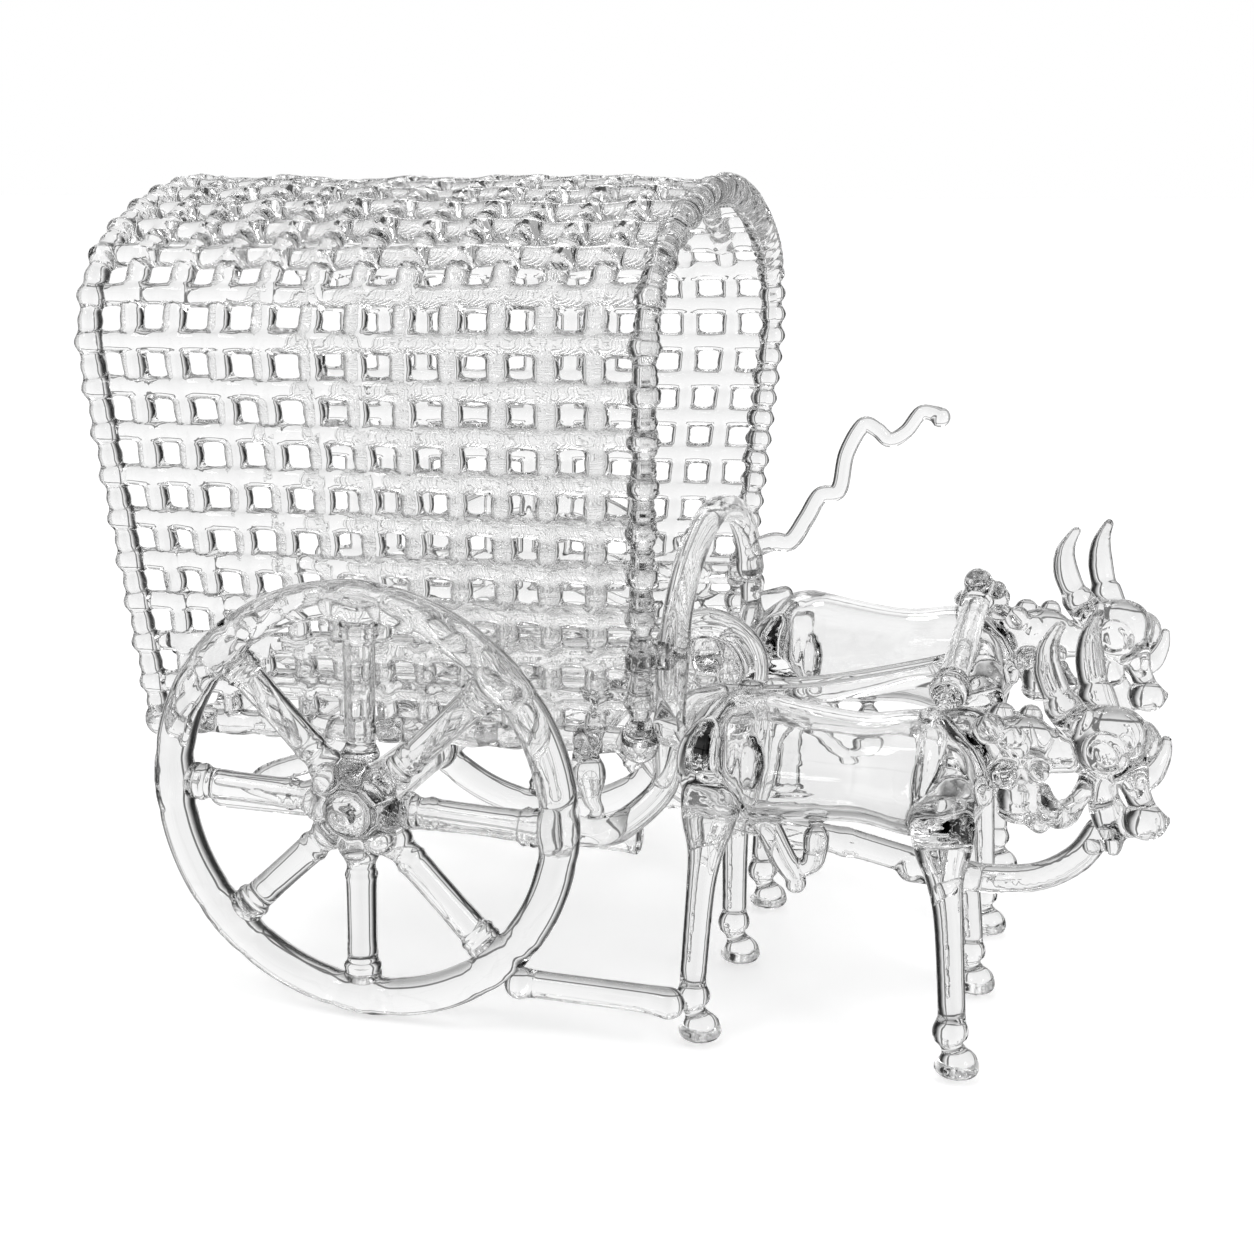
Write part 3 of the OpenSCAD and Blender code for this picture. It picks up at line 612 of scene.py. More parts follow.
def sill_shells(canopy, sizes):
    """The sills, knotted where the lattice meets them, and the blobs at the four corners."""
    u = np.linspace(0.01, 0.99, 150)
    sill_r = sizes.sill_thickness / MM / 2
    knots = 1 + 0.08 * np.cos(2 * pi * u * sizes.cells_along)
    shells = [sweep(canopy.sheet(np.full_like(u, s), u), sill_r * knots, 18) for s in (0, 1)]
    for s in (0.0, 1.0):
        for end, grow in ((0.0, 1.15), (1.0, 1.35)):
            corner = canopy.sheet(np.array(s), np.array(end))
            shells.append(ball(corner, np.array([2.3, 2.3, 2.5]) * grow))
    return shells


class FIGURINE_OT_ropes(bpy.types.Operator):
    """Builds the beaded and twisted rims at the front and rear of the canopy, and its sills"""
    bl_idname = "figurine.ropes"
    bl_label = "Canopy rims and sills"

    def execute(self, context):
        sizes = context.scene.figurine
        canopy = Canopy(sizes)
        add_rods("canopy_front_rim", [front_rim_shell(canopy, sizes)], ["canopy_front_rope"])
        add_rods("canopy_rear_rim", [rear_rim_shell(canopy, sizes)], ["canopy_rear_rope"])
        add_rods("canopy_sills", sill_shells(canopy, sizes), ["bed_sills"], voxel=0.5, passes=4)
        return {"FINISHED"}


# ---------------------------------------------------------------------------------------
# Bed and undercarriage

def grid_shells(sizes):
    """The rods across the bed, and the slats on them with a bead at each end."""
    low, high = corners("bed_cross_rods")
    sill_low, sill_high = corners("bed_sills")
    rod_r = sizes.cross_thickness / MM / 2
    xs = np.linspace(low[0] + rod_r, high[0] - rod_r, sizes.cross_count)
    slope = (sill_high[2] - sill_low[2] - sizes.sill_thickness / MM) / (
        sill_high[0] - sill_low[0])

    def level(x):
        """Height of the bed's middle at x."""
        return (sill_low[2] + sill_high[2]) / 2 + slope * x

    reach = high[1] + 0.4
    shells = [rod([[x, y, level(x), rod_r * k]
                   for y, k in ((-reach, 1.2), (-reach + 3, 1), (reach - 3, 1), (reach, 1.2))],
                  across=(1, 0, 0), step=0.8) for x in xs]
    slat_low, slat_high = corners("bed_slats")
    slat_r = sizes.slat_thickness / MM / 2
    rise = rod_r + slat_r - 0.2
    for y in np.linspace(slat_low[1] + slat_r, slat_high[1] - slat_r, sizes.slat_count):
        rows = [[x, y, level(x) + rise, slat_r * k]
                for x, k in ((slat_low[0] + 1, 1.15), (slat_low[0] + 4, 1.0),
                             (0, 0.96), (slat_high[0] - 4, 1.0), (slat_high[0] - 1, 1.15))]
        shells.append(rod(rows, step=0.8, sides=14))
    return shells


def rail_shells(sizes):
    """The two side rails, each ending in a bead at the front."""
    low, high = corners("side_rails")
    r = sizes.rail_thickness / MM / 2
    z = high[2] - r
    shells = []
    for y in (low[1] + r, high[1] - r):
        shells.append(rod([[low[0], y, low[2] + r, r], [high[0] - 4, y, z - 0.1, r],
                           [high[0] - 2.4, y, z, r], [high[0] - 1.2, y, z, 1.35 * r],
                           [high[0] - 0.2, y, z, 1.3 * r]], step=0.5, lengthen=0.3, sides=18))
    return shells


class FIGURINE_OT_bed(bpy.types.Operator):
    """Builds the bed's rods and slats and the side rails, with the beads at their joints"""
    bl_idname = "figurine.bed"
    bl_label = "Bed"

    def execute(self, context):
        sizes = context.scene.figurine
        add_rods("bed_grid", grid_shells(sizes), ["bed_cross_rods", "bed_slats"], voxel=0.66)
        add_rods("rail_rods", rail_shells(sizes), ["side_rails"])
        return {"FINISHED"}


def undercarriage_shells():
    """The beams below the bed, the struts from them and the posts on the axle."""
    beam_low, beam_high = corners("under_beams")
    beam_r = (beam_high[2] - beam_low[2]) / 2
    beam_z = (beam_high[2] + beam_low[2]) / 2
    rear_low, rear_high = corners("rear_struts")
    front_low, front_high = corners("front_struts")
    post_low, post_high = corners("axle_posts")
    sill_y = corners("bed_sills")[1][1] - 2.1
    axle = middle("axle")
    shells = []
    for side in (-1, 1):
        y = side * (beam_high[1] - beam_r)
        out = side * sill_y
        shells.append(rod([[beam_low[0] + beam_r, y, beam_z, beam_r],
                           [-8, y, beam_z, beam_r * 0.97], [0, y, beam_z, beam_r * 1.12],
                           [8, y, beam_z, beam_r * 0.97],
                           [beam_high[0] - beam_r - 2, y, beam_z, beam_r * 0.96],
                           [beam_high[0] - beam_r, y, beam_z, beam_r * 1.05]], sides=20))
        # slanted strut with a bead at each end
        shells.append(rod([[rear_low[0] + 1, y, beam_z + beam_r - 0.6, 2.5],
                           [rear_low[0] + 3, y, beam_z + beam_r + 1.6, 1.9],
                           [rear_high[0] - 4, out, rear_high[2] - 2.6, 1.9],
                           [rear_high[0] - 1, out, rear_high[2] + 1.4, 2.5]], sides=16))
        # drop with a twisted tail
        drop = (front_low + front_high) / 2
        shells.append(rod([[drop[0] + 0.4, y, beam_z + beam_r - 0.8, 1.7],
                           [drop[0] + 0.8, y, front_low[2] + 1.4, 1.1],
                           [drop[0] + 0.2, (y + out) / 2, front_low[2] + 3.4, 1.5],
                           [drop[0], (y + out) / 2, drop[2] + 1.4, 2.5],
                           [drop[0] - 0.2, out, drop[2] + 3.6, 2.4],
                           [drop[0] - 0.4, out, front_high[2] + 1.4, 1.5]], sides=18))
        # post on the axle
        post = side * (post_high[1] - 2)
        shells.append(rod([[axle[0], post, post_low[2] - 0.6, 2.6],
                           [axle[0], post, post_low[2] + 2, 1.9],
                           [axle[0], post, post_high[2] + 0.6, 2.3]],
                          sides=16, across=(1, 0, 0)))
    return shells


class FIGURINE_OT_undercarriage(bpy.types.Operator):
    """Builds the beams below the bed, the struts and the posts on the axle"""
    bl_idname = "figurine.undercarriage"
    bl_label = "Undercarriage"

    def execute(self, context):
        add_rods("undercarriage", undercarriage_shells(),
                 ["under_beams", "rear_struts", "front_struts", "axle_posts"],
                 voxel=0.5, passes=4)
        return {"FINISHED"}


# ---------------------------------------------------------------------------------------
# Driver's end

def hoop_shells():
    """The hoop across the front, and the doubled post beside its far foot."""
    low, high = corners("front_hoop")
    r = 2.2
    x = (low[0] + high[0]) / 2
    top = high[2] - r
    foot = low[2] + r
    rise = top - foot
    y0, y1 = low[1] + r, high[1] - r
    wide = y1 - y0
    hoop = [[x - 0.4, y0 + 0.2, foot - 0.6, r * 1.15], [x, y0, foot + 0.16 * rise, r],
            [x, y0 + 0.2, foot + 0.34 * rise, r * 1.12],
            [x + 0.2, y0 + 0.05 * wide, foot + 0.62 * rise, r * 0.98],
            [x + 0.2, y0 + 0.17 * wide, foot + 0.84 * rise, r],
            [x, y0 + 0.34 * wide, foot + 0.96 * rise, r],
            [x, y0 + 0.52 * wide, top, r],
            [x, y0 + 0.78 * wide, foot + 0.90 * rise, r],
            [x, y0 + 0.94 * wide, foot + 0.68 * rise, r],
            [x, y1, foot + 0.46 * rise, r * 1.1]]
    shells = [rod(hoop, sides=22, across=(1, 0, 0))]
    # the post goes up to the left rail's end
    rail = corners("side_rails")[1]
    for shift in (0, 2.6):
        shells.append(rod([[x - 0.5, rail[1] - 2 - shift, foot - 1, 1.9],
                           [x - 0.2, rail[1] - 2.4 - shift, foot + 6, 1.7],
                           [x, rail[1] - 3 - shift, rail[2] - 3, 1.9]],
                          sides=16, across=(1, 0, 0)))
    return shells


def whip_shells():
    """The whip, a thin rod bent in waves, with a bead at its tip."""
    low, high = corners("whip")
    y = (low[1] + high[1]) / 2
    x0, z0 = low[0] + 1.3, low[2] + 1.3
    reach = high[0] - 1.4 - x0
    climb = high[2] - 1.4 - z0
    # shares of the whip's reach and climb, and its radius
    waves = [[-0.06, -0.02, 1.5], [0.03, 0.02, 1.45], [0.13, 0.03, 1.4], [0.22, 0.20, 1.35],
             [0.30, 0.37, 1.3], [0.41, 0.42, 1.3], [0.45, 0.68, 1.25], [0.54, 0.88, 1.2],
             [0.62, 0.86, 1.15], [0.70, 0.79, 1.15], [0.79, 0.85, 1.1], [0.87, 0.98, 1.1],
             [0.94, 0.985, 1.15], [0.985, 0.96, 1.5]]
    return [rod([[x0 + a * reach, y, z0 + b * climb, 1.1 * c] for a, b, c in waves],
                step=0.3, sides=20)]


def seat_shells():
    """The driver's seat: an arch, a smaller arch within it and a knot of beads."""
    low, high = corners("seat_arch")
    x = (low[0] + high[0]) / 2
    r = (high[1] - low[1]) / 2
    mid = (high[0] - low[0]) / 2 - r
    base = high[2] - r - mid
    a = np.linspace(-0.35, pi + 0.15, 60)
    outer = np.stack([x + mid * np.cos(a), 0 * a, base + mid * np.sin(a)], axis=1)
    width = r * (1.05 + 0.1 * np.sin(3 * a) ** 2)
    inner = np.stack([x + 0.5 * mid * np.cos(a), 0 * a - 0.6, base + 0.52 * mid * np.sin(a)],
                     axis=1)
    knot = (((-3.0, -1.4, -1.6), 2.4), ((0.4, -2.2, 0.2), 2.6), ((-1.0, 1.6, 1.0), 2.6),
            ((2.6, -0.6, -1.4), 2.2), ((-4.6, -2.2, 0.6), 1.7), ((0.2, -2.4, -2.8), 2.0))
    return [rod(np.column_stack([outer, width])[::4], sides=22),
            rod(np.column_stack([inner, np.full(len(a), 1.7)])[::4], sides=18),
            *beads(middle("seat_knob"), knot)]


class FIGURINE_OT_drivers_end(bpy.types.Operator):
    """Builds the hoop across the front, the whip that stands in it, and the seat"""
    bl_idname = "figurine.drivers_end"
    bl_label = "Driver's end"

    def execute(self, context):
        add_rods("hoop_rod", hoop_shells(), ["front_hoop"])
        add_rods("whip_rod", whip_shells(), ["whip"])
        add_rods("seat", seat_shells(), ["seat_arch", "seat_knob"], voxel=0.34)
        return {"FINISHED"}


# ---------------------------------------------------------------------------------------
# Draught gear

def tongue_shells():
    """The tongue's two rods, from the bed up to the yoke."""
    low, high = corners("tongue")
    r = 1.8
    x0, x1 = low[0] + r, high[0] - r
    z0, z1 = low[2] + r, high[2] - r
    # shares of the tongue's length and height, and of its radius
    bends = ((-0.02, 0, 1.2), (0.1, 0, 1.0), (0.35, 0.02, 1.0), (0.6, 0.3, 0.95),
             (0.9, 0.84, 1.0), (1.0, 1.0, 1.25))
    return [rod([[x0 + t * (x1 - x0), side * (high[1] - r), z0 + h * (z1 - z0), r * k]
                 for t, h, k in bends], sides=16) for side in (-1, 1)]


def yoke_shells():
    """The yoke's slanting beam, a button at its near end and a knot of beads at its far one."""
    low, high = corners("yoke_beam")
    r = 2.2
    x = (low[0] + high[0]) / 2
    near = np.array([x, low[1], low[2] + r])
    far = np.array([x, high[1], high[2] - r])
    along = (far - near) / np.linalg.norm(far - near)
    button = [[-1.0, 0.6], [-0.8, 2.2], [0.2, 3.0], [1.2, 2.6], [2.4, 2.2], [3.4, 2.7],
              [4.4, 2.2]]
    knot = (((0.2, -3.4, 3.4), 2.4), ((-0.4, 0.2, 1.2), 2.0), ((3.2, -2.8, 2.2), 1.6),
            ((3.6, 0, 0.4), 1.7), ((3.4, 0.6, -2), 2.0), ((-2.4, -2.0, 0.2), 1.4))
    shells = [straight(near, far, r, across=(1, 0, 0), sides=20),
              lathe(button, near - along * 1.5, along, across=(1, 0, 0)), *beads(far, knot)]
    # the two flat beads on the beam, over the withers
    bead_x = middle("yoke_beads")[0]
    for corner, inward in zip(corners("yoke_beads"), (2.5, -2.5)):
        shells.append(ball([bead_x, corner[1] + inward, corner[2] + inward], [2.6, 2.3, 2.6]))
    return shells


def brace_shells():
    """The braces, each from a wheel's rim to a hind leg, with a swelling at both ends."""
    low, high = corners("wheel_braces")
    r = 2.1
    shells = []
    for y_rim, y_end in ((corners("right_wheel_rim")[1][1] - 2.0, low[1] + r),
                         (corners("left_wheel_rim")[0][1] + 2.0, high[1] - r)):
        shells.append(rod([[low[0] + 1.0, y_rim, high[2] - r + 1.2, 2.5],
                           [low[0] + 2.4, y_rim, high[2] - r + 1.3, 2.2],
                           [low[0] + 4, y_rim, high[2] - r + 1.3, r],
                           [high[0] - 4, y_end, low[2] + r + 1.7, r],
                           [high[0] + 0.2, y_end, low[2] + r + 1.5, 2.4]], sides=20))
    return shells


def lower_shaft_shells():
    """The lower shaft, two lengths of rod joined under the bullocks and bent up to a chin."""
    low, high = corners("lower_shaft")
    r = 2.1
    start = np.array([low[0] + r, high[1] - r, low[2] + r])
    end = np.array([high[0] - r, low[1] + r, high[2] - r])
    # shares of the shaft's length, width and height, and of its radius
    bends = ((0, 0, 0.98, 1.2), (0.05, 0, 0.66, 1.0), (0.15, 0, 0.40, 0.98),
             (0.27, 0, 0.27, 1.0), (0.43, 0, 0.20, 1.0), (0.47, 0, 0.18, 1.12),
             (0.51, 0, 0.16, 1.0), (0.66, 0.04, 0.05, 1.0), (0.76, 0.2, 0.02, 1.05),
             (0.88, 0.6, 0.13, 1.0), (0.96, 0.9, 0.36, 1.0), (1.0, 1.0, 0.62, 0.98))
    rows = [[*(start + shares * (end - start)), r * k] for *shares, k in bends]
    # where two lengths were joined, one rod's blunt end laps over the other
    x, y, z, _ = rows[7]
    return [rod(rows, sides=22),
            rod([[x - 3, y - 0.8, z - 0.1, 2.3], [x + 6, y - 1.2, z - 0.2, 2.2]], sides=20)]


def draught_rod_shell(side):
    """A draught rod, from the cart's front forward and up over one bullock's rump."""
    low, high = corners("draught_rods")
    r = 2.1
    haunch = ("right" if side < 0 else "left") + "_bullock_haunch"
    rump = middle(haunch)
    rump_r = span(haunch, 2) / 2
    front = corners(haunch)[1][0]
    y = low[1] + r if side < 0 else high[1] - r

    def over(a, share, gap=1.7):
        """A point round the rump at a degrees above level, a share in from the side."""
        return [front - (span(haunch, 0) + gap) * cos(radians(a)), y + share * (rump[1] - y),
                rump[2] + (rump_r + gap) * sin(radians(a))]

    shares = (0.3, 0.65, 0.9, 1.0) if side < 0 else (0.9, 1.15, 1.15, 1.1)
    return rod([[low[0] + 2, y, low[2] + r + 0.1, 2.5], [low[0] + 6, y, low[2] + r, 2.1],
                [low[0] + 10, y, low[2] + r + 1.6, 2.2],
                [*over(-18, shares[0]), 2.05], [*over(12, shares[1]), 2.3],
                [*over(24, shares[2]), 2.0], [*over(42, shares[2]), 1.9],
                [*over(66, shares[3], 0.8), 1.5]], sides=20)


class FIGURINE_OT_draught_gear(bpy.types.Operator):
    """Builds the tongue, the yoke, the braces, the lower shaft and the draught rods"""
    bl_idname = "figurine.draught_gear"
    bl_label = "Draught gear"

    def execute(self, context):
        add_rods("tongue_rods", tongue_shells(), ["tongue"])
        add_rods("yoke", yoke_shells(), ["yoke_beam", "yoke_beads"], voxel=0.34)
        add_rods("brace_rods", brace_shells(), ["wheel_braces"])
        add_rods("lower_shaft_rod", lower_shaft_shells(), ["lower_shaft"], voxel=0.34)
        add_rods("draught_rod_pair", [draught_rod_shell(-1), draught_rod_shell(1)],
                 ["draught_rods"])
        return {"FINISHED"}


# ---------------------------------------------------------------------------------------
# Bullocks

# degrees round a quarter ellipse at which a body's closed end has its rows
DOME_RINGS = (4, 16, 30, 46, 62, 78)


def barrel_profile(length, radius):
    """The body from rump to chest: half an ellipse, a waisted barrel and half an ellipse.

    Rows are the distance from the barrel's rear end and the radius there.
    """
    waist = 1.2
    haunch, chest = 9.4, 9.2
    ends = np.radians(DOME_RINGS)
    rear = [[-haunch * cos(a), radius * sin(a)] for a in ends]
    front = [[length + chest * cos(a), radius * 0.97 * sin(a)] for a in ends[::-1]]
    barrel = [[0, radius * 1.015], [0.07 * length, radius], [0.3 * length, radius - 0.6 * waist],
              [0.62 * length, radius - 1.25 * waist], [0.86 * length, radius - 0.5 * waist],
              [length, radius * 0.985]]
    return rear + barrel + front


def body_of(profile, rise):
    """A skin turned about the back, whose middle rises by a bell curve over the haunch."""
    rows = [[x, 0, rise * np.exp(-((x + 2) / 7) ** 2), r] for x, r in profile]
    q = even_path(rows, 0.4)
    return sweep(q[:, :3], np.maximum(q[:, 3], 0.05), 44)


def hollow_wall(profile, length, radius):
    """The wall of the hollow in the barrel, a wall's thickness inside the skin, facing in."""
    wall = 1.5
    haunch, chest = 5.2, 7.0
    ends = np.radians(DOME_RINGS)
    rows = [[-haunch * cos(a), (radius - wall - 0.4) * sin(a)] for a in ends]
    rows += [[x, r - wall] for x, r in profile if 0 < x < length]
    rows += [[length + chest * cos(a), (radius - wall - 0.5) * sin(a)] for a in ends[::-1]]
    return inside_out(body_of(rows, 0.3))


def leg_rows(top, foot, floor, thick_top):
    """One leg: a thick root on the body's side, a tapering rod, a fetlock bead and a drop hoof."""
    tx, ty, tz = top
    fx, fy = foot
    shin_z = -17.5
    return [[tx, ty, tz + 3, 3.0], [tx, ty, tz, thick_top],
            [tx + 0.1 * (fx - tx), ty + 0.1 * (fy - ty), tz - 4.5, thick_top * 0.93],
            [tx + 0.3 * (fx - tx), ty + 0.3 * (fy - ty), tz - 9, 2.7],
            [tx + 0.6 * (fx - tx), ty + 0.6 * (fy - ty), shin_z, 2.15],
            [fx, fy, floor + 10.4, 2.0], [fx, fy, floor + 8.6, 2.1], [fx, fy, floor + 7.4, 2.6],
            [fx, fy, floor + 6.2, 2.55], [fx + 0.2, fy, floor + 5.0, 1.6],
            [fx + 0.6, fy, floor + 3.9, 1.9], [fx + 1.0, fy, floor + 2.6, 3.0],
            [fx + 1.1, fy, floor + 1.5, 3.3], [fx + 1.1, fy, floor + 0.8, 2.8],
            [fx + 1.1, fy, floor + 0.5, 2.1]]


def leg_shells(side, place, length):
    """A bullock's four legs, with the thigh and the collar that they hang from."""
    leg_low, leg_high = corners(side + "_bullock_legs")
    floor = -place[2]
    stance = (leg_high[1] - leg_low[1]) / 2 - 3.1
    rear_foot = leg_low[0] + 3.0 - place[0]
    front_foot = leg_high[0] - 3.4 - place[0]
    shells = []
    for s in (-1, 1):
        rear = leg_rows([-3.4, s * 8.2, -3.0], [rear_foot, s * stance], floor, 4.3)
        front = leg_rows([length + 3.0, s * 8.0, -3.4], [front_foot, s * stance], floor, 4.5)
        shells.append(rod(rear, step=0.3, sides=20, lengthen=0.2))
        shells.append(rod(front, step=0.3, sides=20, lengthen=0.2))
        shells.append(ball([-4.2, s * 6.4, 0.6], [4.9, 4.0, 6.6]))
        shells.append(ball([length + 3.0, s * 7.0, -1.6], [4.6, 3.4, 4.6]))
    return shells


def bell_shells(side, place):
    """The bell below the neck, from its rim up, with a small hook on its right."""
    low, high = corners(side + "_bullock_dewlap")
    bell = np.array([(low[0] + high[0]) / 2, (low[1] + high[1]) / 2, low[2]]) - place
    tall = high[2] - low[2]
    profile = [[0.0, 0.6], [0.3, 2.0], [1.0, 3.1], [1.9, 3.5], [2.6, 3.05], [3.3, 3.5],
               [tall - 2.4, 3.5], [tall - 1.2, 2.9], [tall - 0.2, 3.2], [tall + 1.8, 2.4]]
    hook = [[*(bell + [1.4, -2.8, 1.6]), 1.0], [*(bell + [3.0, -3.6, 0.8]), 0.95],
            [*(bell + [4.0, -3.6, 1.8]), 0.8]]
    return [lathe(profile, bell, [0, 0, 1], sides=28, across=(0, 1, 0)),
            rod(hook, step=0.3, sides=12)]


def chin_shells(chin):
    """The drop and the bead of glass below the chin."""
    drop = [[*(chin + [-1.6, 0, 3.4]), 1.5], [*(chin + [-0.6, 0, 0]), 2.1],
            [*(chin + [0.8, -0.2, -3.0]), 1.8], [*(chin + [1.0, -0.3, -5.2]), 1.2]]
    return [rod(drop, step=0.4, sides=16), ball(chin + [-1.8, -0.2, -5.4], [1.5, 1.3, 1.2])]


def sheath_shells(side, place):
    """The sheath, a bent drop with a ring at its tip, and the rod that meets it from the front."""
    low, high = corners(side + "_bullock_sheath")
    x, z = low[0] - place[0], high[2] - place[2]
    tip = low[2] - place[2]
    y = (low[1] + high[1]) / 2 - place[1]
    drop = [[x - 1.2, y, z + 2.0, 2.0], [x + 1.6, y, z - 0.4, 2.0],
            [x + 3.8, y, (z + tip) / 2 + 0.4, 2.0], [x + 5.4, y, tip + 3.0, 1.7],
            [x + 5.9, y, tip + 1.9, 1.35], [x + 6.1, y, tip + 1.2, 1.7]]
    stay = [[x + 9.0, y, z - 1.2, 2.0], [x + 8.6, y, (z + tip) / 2, 1.7],
            [x + 7.0, y, tip + 3.4, 1.2]]
    return [rod(drop, step=0.4, sides=18), rod(stay, step=0.4, sides=16)]


def head_shells():
    """A head looking along +X: skull, brow, eyes, muzzle, jaw, horns and ears."""
    shells = [
        ball([-0.6, 0, 0.6], [5.3, 5.0, 5.2], sides=28, rings=19),
        ball([1.0, 0, 2.2], [4.4, 4.4, 3.9], sides=28, rings=19),
        ball([-3.8, 0, 2.4], [3.0, 3.9, 3.0]),
        # bridge of the nose down to the muzzle's bulb
        rod([[1.6, 0, 0.2, 3.7], [3.4, 0, -2.4, 2.8], [4.6, 0, -4.6, 2.0], [5.6, 0, -6.6, 1.8],
             [6.2, 0, -8.0, 2.3]], sides=24),
        ball([6.6, 0, -9.2], [3.0, 2.9, 2.5]),
        # jaw, apart from the nose by a three-cornered gap
        rod([[-0.8, 0, -3.4, 2.6], [-0.2, 0, -5.6, 1.6], [1.8, 0, -8.4, 1.3],
             [4.6, 0, -10.6, 1.5]], sides=18),
        ball([-0.6, 0, -6.2], [2.2, 2.6, 2.6]),
    ]
    for side in (-1, 1):
        shells.append(ball([2.4, side * 4.0, 0.6], [1.9, 1.6, 1.6]))
        # lid round the eye
        a = np.linspace(0, 2 * pi, 40, endpoint=False)
        lid = np.stack([2.4 + 2.7 * np.cos(a), side * (4.5 - 0.5 * np.cos(a)), 0.7 + 2.3 * np.sin(a)],
                       axis=1)
        shells.append(sweep(lid, np.full(len(a), 0.75), 12, closed=True))
        shells.append(ball([8.6, side * 1.6, -8.8], [0.9, 0.8, 0.8]))
        # horn, with a collar where it was set on
        root = [-3.6, side * 3.4, 3.6]
        shells.append(rod([[*root, 2.6], [-5.6, side * 4.2, 6.2, 2.6],
                           [-6.0, side * 4.4, 7.0, 2.1],
                           [-7.3, side * 5.0, 10.2, 2.1], [-7.6, side * 5.2, 13.2, 1.7],
                           [-6.8, side * 5.0, 15.8, 1.1], [-6.0, side * 4.8, 17.2, 0.85]],
                          step=0.4, sides=20))
        # ear, a leaf that hangs out from the cheek and turns up at its tip
        shells.append(rod([[-0.6, side * 2.9, -3.6, 1.5], [-0.6, side * 6.0, -6.6, 1.4],
                           [-0.5, side * 9.0, -7.6, 2.0], [-0.2, side * 12.0, -6.8, 1.9],
                           [0.0, side * 14.3, -4.4, 1.4], [0.0, side * 15.0, -2.4, 0.9]],
                          step=0.4, sides=18, across=(1, 0, 0)))
    return shells


def bullock_shells(side, sizes):
    """A bullock's outer skin in its own place, and the wall of the hollow in its barrel."""
    low, high = corners(side + "_bullock_barrel")
    place = np.array([low[0], (low[1] + high[1]) / 2, (low[2] + high[2]) / 2])
    length = high[0] - low[0]
    radius = (high[2] - low[2]) / 2
    profile = barrel_profile(length, radius)
    shells = [body_of(profile, 0.5)] + leg_shells(side, place, length)
    # ridge of glass laid over the joint of haunch and barrel, and of barrel and chest
    a = np.linspace(0, 2 * pi, 90, endpoint=False)
    for x, k in ((0.2, 0.99), (length - 0.2, 0.97)):
        ring = np.stack([x + 0.3 * np.sin(3 * a), radius * k * np.cos(a),
                         radius * k * np.sin(a)], axis=1)
        shells.append(sweep(ring, 0.5 + 0.1 * np.sin(5 * a), 10, across=(1, 0, 0), closed=True))
    # withers and neck
    shells.append(ball([length + 4.5, 0, 6.2], [5.4, 4.6, 4.2]))
    skull = np.array([sizes.head_forward / MM + length, 0, sizes.head_rise / MM])
    shells.append(rod([[length + 6.4, 0, 4.2, 4.6], [length + 10, 0, 5.6, 3.6],
                       [length + 13.4, 0.2, 5.8, 4.0],
                       [skull[0] - 7.4, 0.4, skull[2] - 1.4, 3.2], [*skull, 3.4]],
                      step=0.45, sides=24))
    shells += bell_shells(side, place)
    shells += chin_shells(skull + [0.6, -2.4, -8.6])
    shells += sheath_shells(side, place)
    # beads melted on round the root of the neck
    shells += beads(np.array([length, 0, 0]), (
        ((8.6, -3.4, 9.0), 2.0), ((11.4, -3.0, 7.6), 1.7), ((13.6, 2.4, 9.2), 1.8),
        ((9.6, 3.2, 8.6), 2.1), ((10.8, -4.4, 2.4), 2.0), ((8.0, -5.4, -0.6), 1.7),
        ((15.4, -3.6, 3.0), 1.6), ((13.0, -4.2, -0.4), 1.5)))
    shells.append(moved(turned(join(head_shells()), -sizes.head_turn), skull))
    return moved(join(shells), place), moved(hollow_wall(profile, length, radius), place)


class FIGURINE_OT_bullocks(bpy.types.Operator):
    """Builds both bullocks, each fused into one skin round a hollow barrel"""
    bl_idname = "figurine.bullocks"
    bl_label = "Bullocks"

    def execute(self, context):
        sizes = context.scene.figurine
        kinds = ("barrel", "haunch", "chest", "neck", "head", "horns", "ears", "legs", "dewlap",
                 "sheath")
        for side in ("right", "left"):
            skin, hollow = bullock_shells(side, sizes)
            name = side + "_bullock"
            mesh = fused(name, skin, voxel=0.40, passes=5)
            piece = add_piece(name, mesh, BLOWN_BODY, [f"{name}_{k}" for k in kinds])
            add_shell(piece, hollow)
        return {"FINISHED"}


# ---------------------------------------------------------------------------------------
# Finishes

BOROSILICATE_IOR = 1.473


def linear(hex_colour):
    """Linear RGBA of an sRGB hex colour."""
    s = np.array([int(hex_colour[i:i + 2], 16) for i in (1, 3, 5)]) / 255
    return (*np.where(s <= 0.04045, s / 12.92, ((s + 0.055) / 1.055) ** 2.4), 1.0)


def add_node(tree, kind, settings=None, values=None, links=None):
    """Adds a node with its settings, the values of its sockets and the links into it."""
    node = tree.nodes.new(kind)
    for name, value in (settings or {}).items():
        setattr(node, name, value)
    for socket, value in (values or {}).items():
        node.inputs[socket].default_value = value
    for socket, source in (links or {}).items():
        tree.links.new(source, node.inputs[socket])
    return node


